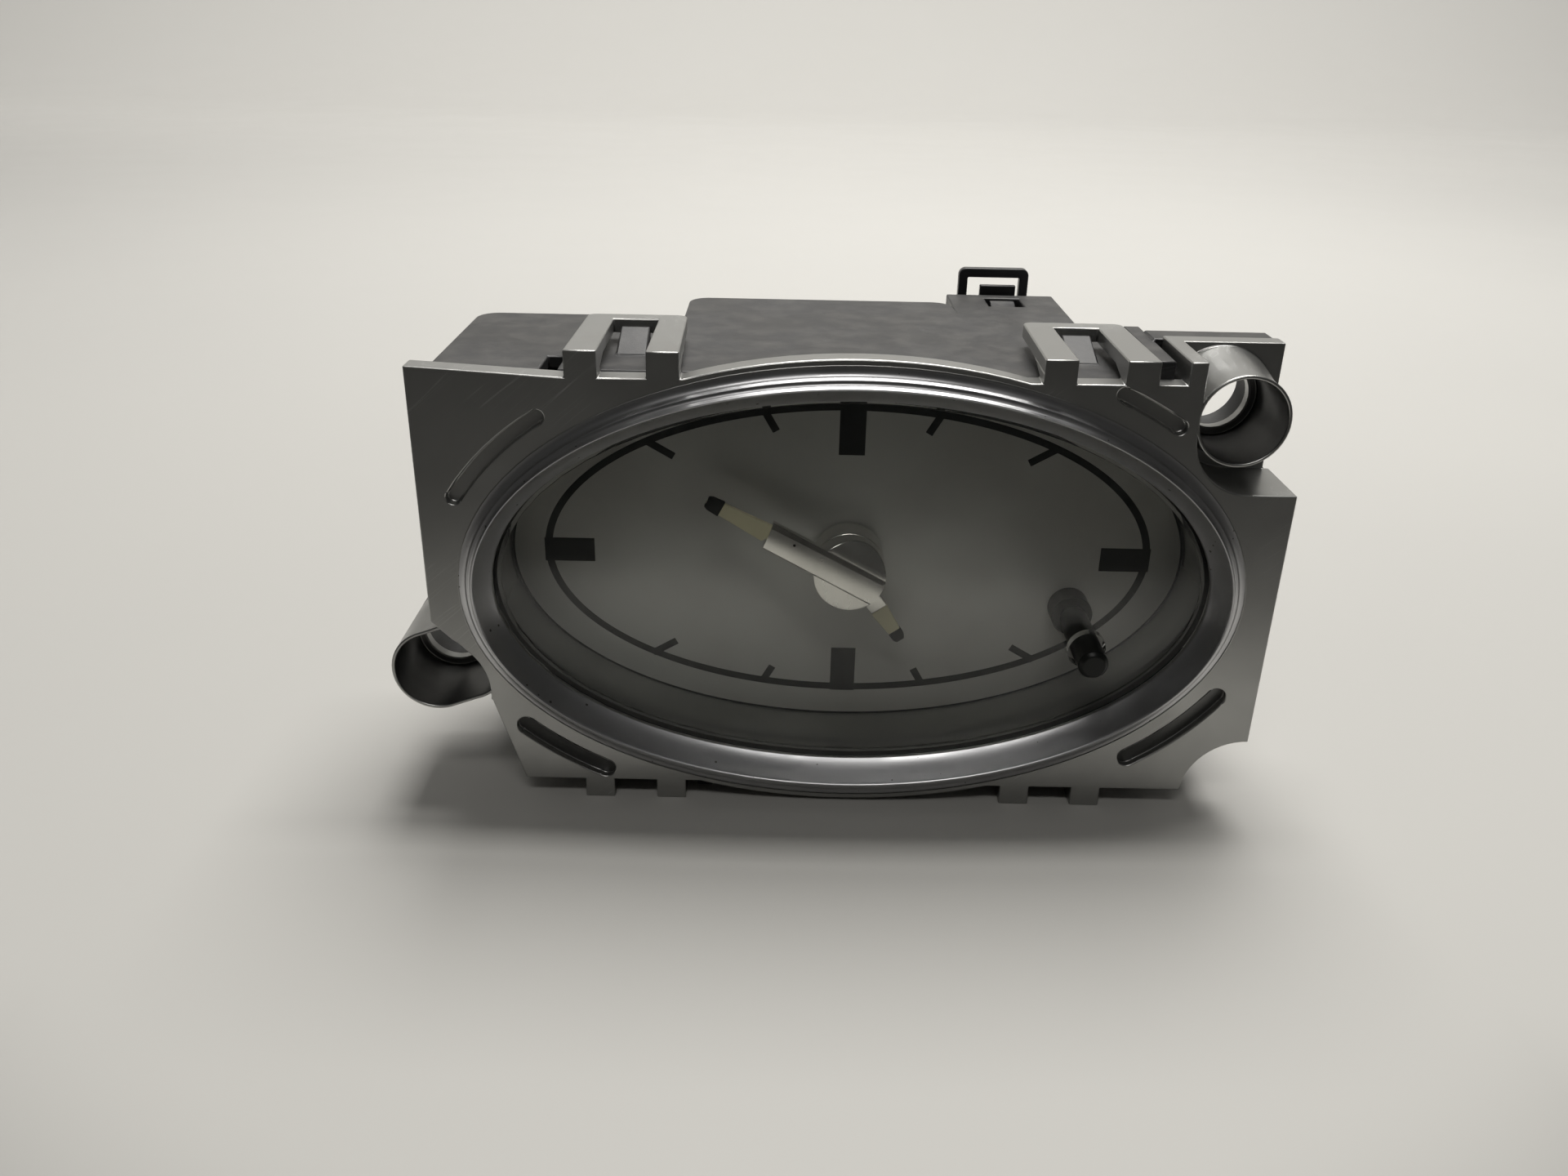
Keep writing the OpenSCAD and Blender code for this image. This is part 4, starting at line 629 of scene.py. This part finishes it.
def softCopy(nodeName, setup, common):
    bm = bmesh.new()
    bm.from_mesh(nodes[nodeName].data)
    bmesh.ops.remove_doubles(bm, verts=bm.verts, dist=common["weld"] * mm)
    if nodeName == "front_bezel":
        sinkRing(bm, ringSetup, sinkSetup)
        slopeGrooves(bm, grooveSetup, ringSetup)
        paintTubeShade(bm, tubeSetup)
    bmesh.ops.dissolve_limit(bm, angle_limit=math.radians(common["flat"]), verts=bm.verts, edges=bm.edges)
    piece = finishPiece(setup["name"], bm, setup["body"], nodeFinish[nodeName])
    if "second" in setup:
        piece.data.materials.append(finishes[setup["second"]])
    bevel = piece.modifiers.new("softEdge", "BEVEL")
    bevel.width = setup["width"] * mm
    bevel.segments = setup["segments"]
    bevel.limit_method = "ANGLE"
    bevel.angle_limit = math.radians(common["corner"])
    bevel.use_clamp_overlap = False
    flat = piece.modifiers.new("flatFaces", "WEIGHTED_NORMAL")
    flat.keep_sharp = True
    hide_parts(nodeName)


for nodeName, setup in softEdges.items():
    softCopy(nodeName, setup, softCommon)
print("moulded pieces softened:", len(softEdges))


def firstLoop(bm, count, place):
    made = bmesh.ops.create_circle(bm, segments=count, radius=1)
    for v in made["verts"]:
        v.co = place(math.atan2(v.co.y, v.co.x))
    return list(dict.fromkeys(e for v in made["verts"] for e in v.link_edges))


def nextLoop(bm, edges, turnOf, place):
    made = bmesh.ops.extrude_edge_only(bm, edges=edges)["geom"]
    for v in onlyVerts(made):
        v.co = place(turnOf(v.co))
    return onlyEdges(made)


def ovalTurn(a, b):
    return lambda co: math.atan2((co.z - dialCentre.z) / b, (co.x - dialCentre.x) / a)


def ovalPlace(a, b, y):
    return lambda turn: atDial(a * math.cos(turn), y, b * math.sin(turn))


joinGap = 0.001


def closeUp(bm):
    # joins the first and last loops and turns all faces outwards
    bmesh.ops.remove_doubles(bm, verts=bm.verts, dist=joinGap * mm)
    bmesh.ops.recalc_face_normals(bm, faces=bm.faces)


def sweptOval(section, count):
    # a closed section, each point as half width, half height and depth, swept round the dial's axis
    bm = bmesh.new()
    a, b, y = section[0]
    edges = firstLoop(bm, count, ovalPlace(a, b, y))
    for step in section[1:] + section[:1]:
        edges = nextLoop(bm, edges, ovalTurn(a, b), ovalPlace(*step))
        a, b = step[:2]
    closeUp(bm)
    return bm


def buildRing(ring):
    # the polished ring: two small fillets up from the plate, a round crest, a cove down to the opening
    def point(share, out):
        return *ringOval(ring, share), -out

    def fillet(start, end, count):
        # hollow curve that starts along the plate and ends nearly square to it
        turns = [math.radians(ring["filletTurn"] * i / count) for i in range(count + 1)]
        last = turns[-1]
        return [point(start[0] + (end[0] - start[0]) * math.sin(t) / math.sin(last),
                      start[1] + (end[1] - start[1]) * (1 - math.cos(t)) / (1 - math.cos(last)))
                for t in turns]

    rim, crest, lip, edge = (ring[k] for k in ("rim", "crest", "lip", "edge"))
    section = [point(*ring["root"])]
    section += fillet(ring["foot"], ring["step"], ring["filletSteps"][0])
    section += fillet(ring["land"], rim, ring["filletSteps"][1])
    pull = (crest[0] - ring["crestShift"], 2 * crest[1] - (rim[1] + lip[1]) / 2)
    for i in range(1, ring["crestSteps"]):
        t = i / ring["crestSteps"]
        section.append(point(*(a * (1 - t) ** 2 + 2 * t * (1 - t) * b + c * t ** 2
                               for a, b, c in zip(rim, pull, lip))))
    drop, bend = lip[1] - edge[1], ring["coveBend"]
    for i in range(ring["coveSteps"] + 1):
        t = i / ring["coveSteps"]
        fall = drop * ((1 + bend) * t - bend * t * t)
        section.append(point(lip[0] + (edge[0] - lip[0]) * t, lip[1] - fall))
    section += [point(share, edge[1] - ring["backDepth"]) for share in ring["backShares"]]
    section.append(point(*ring["keel"]))
    finishPiece("polishedRing", sweptOval(section, ring["count"]), "clock", "ringPaint",
                ring["sharp"])


buildRing(ringSetup)

lensSetup = {
    "rim": (45.4, 24.75), "rimY": 1.9, "topY": -2.5, "seat": (46.5, 25.85), "seatY": 2.3, "backY": 3.8,
    "inner": (44.6, 23.95), "innerRimY": 3.4, "innerTopY": -0.5, "hole": (30.4, -6.9, 2.5),
    "count": 144, "steps": 22, "crowding": 1.3, "sharp": 40,
}


def buildLens(lens):
    holeX, holeZ, holeR = lens["hole"]

    def rayPoint(turn, a, b, share):
        # point on the ray from the hole's middle to the rim's oval
        dx, dz = math.cos(turn), math.sin(turn)
        p = (dx / a) ** 2 + (dz / b) ** 2
        q = 2 * (holeX * dx / a ** 2 + holeZ * dz / b ** 2)
        r = (holeX / a) ** 2 + (holeZ / b) ** 2 - 1
        far = (-q + math.sqrt(q * q - 4 * p * r)) / (2 * p)
        reach = holeR + (far - holeR) * share
        return holeX + dx * reach, holeZ + dz * reach

    def onDome(a, b, rimY, topY, share):
        def place(turn):
            x, z = rayPoint(turn, a, b, share)
            return atDial(x, rimY - (rimY - topY) * max(0.0, 1 - (x / a) ** 2 - (z / b) ** 2), z)
        return place

    def onFlange(a, b, y):
        def place(turn):
            x, z = rayPoint(turn, a, b, 1)
            return atDial(x, y, z)
        return place

    def turnOf(co):
        return math.atan2(co.z - dialCentre.z - holeZ * mm, co.x - dialCentre.x - holeX * mm)

    bm = bmesh.new()
    outer = (*lens["rim"], lens["rimY"], lens["topY"])
    inner = (*lens["inner"], lens["innerRimY"], lens["innerTopY"])
    count = lens["steps"]
    steps = [1 - (1 - i / count) ** lens["crowding"] for i in range(count + 1)]
    edges = firstLoop(bm, lens["count"], onDome(*outer, steps[0]))
    for share in steps[1:]:
        edges = nextLoop(bm, edges, turnOf, onDome(*outer, share))
    for oval, y in (("rim", "seatY"), ("seat", "seatY"), ("seat", "backY"), ("inner", "backY")):
        edges = nextLoop(bm, edges, turnOf, onFlange(*lens[oval], lens[y]))
    for share in reversed(steps):
        edges = nextLoop(bm, edges, turnOf, onDome(*inner, share))
    nextLoop(bm, edges, turnOf, onDome(*outer, steps[0]))
    closeUp(bm)
    piece = finishPiece("lensDome", bm, "clock", "lensClear", lens["sharp"])
    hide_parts("lens")


buildLens(lensSetup)
print("ring and lens built")

dialFace = 13.5
printSetup = {
    "gap": 0.012, "thick": 0.012, "track": (40.65, 20.75), "trackWidth": 1.0, "rise": 0.25, "count": 240,
    "innerTrack": (35.25, 17.76), "tickWidth": 1.0, "tickInset": 0.4,
    "tickHours": (1, 2, 4, 5, 7, 8, 10, 11),
    "twelve": (3.4, 14.0, 20.6), "three": (3.35, 34.0, 40.7),
}


def buildDialPrint(ink):
    back = dialFace - ink["gap"]
    front = back - ink["thick"]
    a, b = ink["track"]
    w = ink["trackWidth"]
    section = [(a, b, back), (a, b, front), (a - w, b - w, front), (a - w, b - w, back)]
    track = sweptOval(section, ink["count"])
    bmesh.ops.translate(track, verts=track.verts, vec=(0, 0, ink["rise"] * mm))
    finishPiece("dialTrack", track, "clock", "printInk")

    def bar(bm, x0, z0, x1, z1, width):
        # flat bar from one point of the dial to another
        made = bmesh.ops.create_cube(bm, size=1)["verts"]
        length = math.hypot(x1 - x0, z1 - z0)
        lean = math.atan2(x1 - x0, z1 - z0)
        bmesh.ops.scale(bm, verts=made, vec=(width * mm, ink["thick"] * mm, length * mm))
        bmesh.ops.rotate(bm, verts=made, cent=(0, 0, 0), matrix=Matrix.Rotation(lean, 3, "Y"))
        bmesh.ops.translate(bm, verts=made, vec=atDial((x0 + x1) / 2, (front + back) / 2, (z0 + z1) / 2))

    blocks = bmesh.new()
    for across, up, (width, low, high) in ((0, 1, ink["twelve"]), (1, 0, ink["three"])):
        for side in (-1, 1):
            bar(blocks, across * side * low, up * side * low, across * side * high, up * side * high, width)
    finishPiece("hourBlocks", blocks, "clock", "printInk")

    ticks = bmesh.new()
    for hour in ink["tickHours"]:
        turn = math.radians(30 * hour)
        dx, dz = math.sin(turn), math.cos(turn)
        far = 1 / math.hypot(dx / (a - ink["tickInset"]), dz / (b - ink["tickInset"]))
        near = 1 / math.hypot(dx / ink["innerTrack"][0], dz / ink["innerTrack"][1])
        bar(ticks, near * dx, near * dz, far * dx, far * dz, ink["tickWidth"])
    finishPiece("hourTicks", ticks, "clock", "printInk")


buildDialPrint(printSetup)

# painted shade: a black band on the dial at the foot of its wall
gapShadeSetup = {"wall": (45.04, 24.39), "width": 0.32, "thick": 0.02, "clear": 0.002, "count": 240}


def paintDialGapShade(gap):
    # the joint where the wall meets the dial, partly a real dark joint and partly painted shade: a black
    # band on the dial's face
    a, b = gap["wall"]
    w = gap["width"]
    front, back = dialFace - gap["thick"], dialFace - gap["clear"]
    section = [(a, b, front), (a - w, b - w, front), (a - w, b - w, back), (a, b, back)]
    finishPiece("dialGapShade", sweptOval(section, gap["count"]), "clock", "printInk")


paintDialGapShade(gapShadeSetup)

# The turn is clockwise from twelve; face is the depth of a hand's front
handTurn = {"minute": 298.4, "hour": 144.9}
handFace = {"minute": 6.1, "hour": 9.4}
capSetup = {
    "radius": 4.73, "skirt": 3.0, "rim": 0.15, "wall": 0.8, "web": 1.8, "middle": 0.0004, "near": 0.01,
    "count": 96, "faceSteps": 12, "lean": 0.05, "fall": 0.16, "fallFrom": 1.6, "sharp": 28,
    "bar": {"half": 1.78, "top": -1.0, "root": 0.7, "from": -4.35, "to": (12.3, 11.95), "ridge": (1.5, 1.15),
            "hollow": (0.015, 0.07), "chamfer": 0.3, "lowDrop": 0.36, "highDrop": 0.85, "steps": 6,
            "softFrom": 0.3, "soft": 0.5},
}
hubSetup = {
    "radius": 4.73, "skirt": 3.6, "rim": 0.22, "wall": 0.8, "web": 0.9, "bore": 1.65, "count": 96,
    "sharp": 28, "stub": {"half": 1.2, "thick": 1.0, "from": 3.6, "to": 7.5, "soft": 0.12},
}


def sweepInto(bm, section, count):
    # an open section, each point as radius and depth, swept round the dial's axis
    r, y = section[0]
    edges = firstLoop(bm, count, ovalPlace(r, r, y))
    for r2, y2 in section[1:]:
        edges = nextLoop(bm, edges, ovalTurn(r, r), ovalPlace(r2, r2, y2))
        r = r2


def turnHand(bm, verts, turn):
    bmesh.ops.rotate(bm, verts=verts, cent=(0, 0, 0), matrix=Matrix.Rotation(math.radians(turn), 3, "Y"))
    bmesh.ops.translate(bm, verts=verts, vec=dialCentre)


def roundedRim(radius, y, rim, count=5):
    # from the side of a cap round to its face
    turns = [math.radians(90 * i / count) for i in range(count + 1)]
    return [(radius - rim + rim * math.cos(t), y + rim - rim * math.sin(t)) for t in turns]


def capFall(cap, u):
    # the cap's face falls away above the bar and leans down a little below it
    if u > cap["fallFrom"]:
        return cap["fall"] * (u - cap["fallFrom"]) ** 2
    return cap["lean"] * max(0.0, -u - cap["fallFrom"])


def buildCapBar(cap, face, turn):
    # u runs across the bar from its lower to its upper side, y into the clock, z along it
    bar = cap["bar"]
    half, top, steps = bar["half"], bar["top"], bar["steps"]
    low = half - bar["chamfer"]

    def across(end):
        ridge, hollow = bar["ridge"][end], bar["hollow"][end]
        points = [(-half, bar["root"]), (-half, top + bar["lowDrop"]), (-low, top)]
        for i in range(1, steps + 1):
            reach = (ridge + low) * i / steps
            points.append((reach - low, top + hollow * reach ** 2 - cap["lean"] * reach))
        return points + [(half, top + bar["highDrop"]), (half, bar["root"])]

    rod = bmesh.new()
    near = [rod.verts.new(Vector((u, face + y, bar["from"])) * mm) for u, y in across(0)]
    far = onlyVerts(bmesh.ops.extrude_face_region(rod, geom=[rod.faces.new(near)])["geom"])
    for v, (u, y) in zip(near, across(1)):
        end = next(e.other_vert(v) for e in v.link_edges if e.other_vert(v) in far)
        share = (u + half) / (2 * half)
        end.co = Vector((u, face + y, bar["to"][1] + (bar["to"][0] - bar["to"][1]) * share)) * mm
    front = [v for v in near if v.co.y / mm < face - bar["softFrom"]]
    softenEdges(rod, [e for e in rod.edges if all(v in front for v in e.verts)], bar["soft"], 1)
    bmesh.ops.recalc_face_normals(rod, faces=rod.faces)
    turnHand(rod, rod.verts, turn)
    return rod


def buildMinuteCap(cap, face, turn):
    bm = bmesh.new()
    radius, back, web = cap["radius"], face + cap["skirt"], face + cap["web"]
    flat, inside, steps = radius - cap["rim"], radius - cap["wall"], cap["faceSteps"]
    section = [(inside, back), (radius, back)] + roundedRim(radius, face, cap["rim"])
    section += [(flat * (1 - i / steps), face) for i in range(1, steps)]
    section.append((cap["middle"], face))
    sweepInto(bm, section, cap["count"])
    sweepInto(bm, [(inside, back), (inside, web), (cap["middle"], web)], cap["count"])
    closeUp(bm)
    lean = math.radians(turn)
    for v in bm.verts:
        x, y, z = fromDial(v.co)
        if y < face + cap["rim"] + cap["near"]:
            v.co.y += capFall(cap, x * math.cos(lean) - z * math.sin(lean)) * mm
    rod = buildCapBar(cap, face, turn)
    part = bpy.data.meshes.new("barPart")
    rod.to_mesh(part)
    rod.free()
    bm.from_mesh(part)
    bpy.data.meshes.remove(part)
    piece = finishPiece("minuteCap", bm, "minute_works", "handSilver", cap["sharp"])
    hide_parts("minute_hand_cap")


def buildHourHub(hub, face, turn):
    bm = bmesh.new()
    radius, bore, back, web = hub["radius"], hub["bore"], face + hub["skirt"], face + hub["web"]
    inside = radius - hub["wall"]
    section = [(bore, face), (radius - hub["rim"], face)] + roundedRim(radius, face, hub["rim"])[::-1]
    section += [(radius, back), (inside, back), (inside, web), (bore, web), (bore, face)]
    sweepInto(bm, section, hub["count"])
    closeUp(bm)
    stub = hub["stub"]
    length, middle = stub["to"] - stub["from"], (stub["to"] + stub["from"]) / 2
    made = bmesh.ops.create_cube(bm, size=1)["verts"]
    bmesh.ops.scale(bm, verts=made, vec=(2 * stub["half"] * mm, stub["thick"] * mm, length * mm))
    bmesh.ops.translate(bm, verts=made, vec=(0, (face + stub["thick"] / 2) * mm, middle * mm))
    edges = list(dict.fromkeys(e for v in made for e in v.link_edges))
    turnHand(bm, made, turn)
    softenEdges(bm, edges, stub["soft"], 2)
    piece = finishPiece("hourHub", bm, "hour_works", "handSilver", hub["sharp"])
    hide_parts("hour_hand_hub")


buildMinuteCap(capSetup, handFace["minute"], handTurn["minute"])
buildHourHub(hubSetup, handFace["hour"], handTurn["hour"])
print("hand caps built")

tipSetup = {
    "minute": {"thick": 0.7, "from": 18.9, "to": 21.0, "half": (0.98, 0.86, 0.62), "body": "minute_works",
               "slot": "minute_pointer_clear"},
    "hour": {"thick": 0.7, "from": 11.3, "to": 12.9, "half": (0.86, 0.82, 0.52), "body": "hour_works",
             "slot": "hour_pointer_clear"},
}
tipCommon = {"skin": 0.03, "corner": 0.45, "soft": 0.04}


def buildTip(name, tip, common):
    # black painted end of a pointer, a skin over it
    skin = common["skin"]
    bm = bmesh.new()
    wide, mid, end = (h + skin for h in tip["half"])
    corner, front = tip["to"] - common["corner"], handFace[name] - skin
    points = ((-wide, tip["from"]), (wide, tip["from"]), (mid, corner), (end, tip["to"]), (-end, tip["to"]),
              (-mid, corner))
    outline = [bm.verts.new(Vector((x, front, z)) * mm) for x, z in points]
    grown = bmesh.ops.extrude_face_region(bm, geom=[bm.faces.new(outline)])["geom"]
    bmesh.ops.translate(bm, verts=onlyVerts(grown), vec=(0, (tip["thick"] + 2 * skin) * mm, 0))
    softenEdges(bm, list(bm.edges), common["soft"], 2)
    turnHand(bm, bm.verts, handTurn[name])
    bmesh.ops.recalc_face_normals(bm, faces=bm.faces)
    finishPiece(name + "Tip", bm, tip["body"], "printInk")


for name, tip in tipSetup.items():
    buildTip(name, tip, tipCommon)
print("dial print and pointer tips built")


# Floor, in metres; its colour holds painted light and shade: a little lighter far behind the clock, and
# painted shade that turns it dark in front of the picture, nearer at the sides, which the plate mirrors

floorSetup = {
    "half": 1.6, "front": -1.4, "bend": 1.1, "radius": 0.6, "rise": 1.2, "steps": 16,
    # painted light: the floor's colour is lighter far behind the clock
    "near": (0.495, 0.487, 0.465), "far": (0.54, 0.532, 0.51), "paintedLightRange": (-0.15, 0.5),
    "cloud": (0.50, 0.49, 0.46), "cloudScale": 6, "cloudDetail": 3, "cloudRange": (0.3, 0.7),
    "cloudShare": 0.12,
    # painted shade: the dark colour the floor takes in front of the picture
    "edge": (0.06, 0.059, 0.057), "paintedShadeRange": (-0.17, -0.092), "round": 5.0, "roundLimit": 0.0064,
    "rough": (0.42, 0.55), "specular": 0.2,
}


def makeFloorPaint(setup):
    material, tree, shader = newMaterial("tableWhite")
    shader.inputs["Specular IOR Level"].default_value = setup["specular"]
    place = tree.nodes.new("ShaderNodeTexCoord").outputs["Object"]
    split = tree.nodes.new("ShaderNodeSeparateXYZ")
    tree.links.new(place, split.inputs[0])
    # painted light: lighter colour further behind the clock
    away = rampNode(tree, split.outputs["Y"], *setup["paintedLightRange"])
    colour = blendColour(tree, away, setup["near"], setup["far"])
    cloud = noiseNode(tree, place, setup["cloudScale"], setup["cloudDetail"])
    patch = rampNode(tree, cloud, *setup["cloudRange"], 0.0, setup["cloudShare"])
    colour = blendColour(tree, patch, colour, setup["cloud"])
    # painted shade: dark in front of the picture, its line bending nearer at the sides
    side = mathNode(tree, "SUBTRACT", split.outputs["X"], cameraSetup["place"][0] * mm)
    aside = mathNode(tree, "MINIMUM", mathNode(tree, "MULTIPLY", side, side), setup["roundLimit"])
    line = mathNode(tree, "MULTIPLY_ADD", aside, -setup["round"], split.outputs["Y"])
    colour = blendColour(tree, rampNode(tree, line, *setup["paintedShadeRange"]), setup["edge"], colour)
    tree.links.new(colour, shader.inputs["Base Color"])
    tree.links.new(rampNode(tree, cloud, *setup["cloudRange"], *setup["rough"]), shader.inputs["Roughness"])
    return material


def buildFloor(setup):
    # flat sheet that sweeps up far behind the clock
    bm = bmesh.new()
    edges = [bm.edges.new([bm.verts.new((side * setup["half"], setup["front"], 0)) for side in (-1, 1)])]
    bend, radius, steps = setup["bend"], setup["radius"], setup["steps"]
    path = [(bend, 0.0)]
    for i in range(1, steps + 1):
        t = math.radians(90 * i / steps)
        path.append((bend + radius * math.sin(t), radius * (1 - math.cos(t))))
    path.append((bend + radius, setup["rise"]))
    for y, z in path:
        made = bmesh.ops.extrude_edge_only(bm, edges=edges)["geom"]
        for v in onlyVerts(made):
            v.co.y, v.co.z = y, z
        edges = onlyEdges(made)
    mesh = bpy.data.meshes.new("studioFloor")
    bm.to_mesh(mesh)
    bm.free()
    mesh.materials.append(makeFloorPaint(setup))
    mesh.shade_smooth()
    floor = bpy.data.objects.new("studioFloor", mesh)
    bpy.context.scene.collection.objects.link(floor)


buildFloor(floorSetup)
buildLamps(lampSetup)
buildWorld(worldSetup)
buildCamera(cameraSetup)
bpy.context.scene.view_settings.view_transform = "Standard"
print("studio ready")
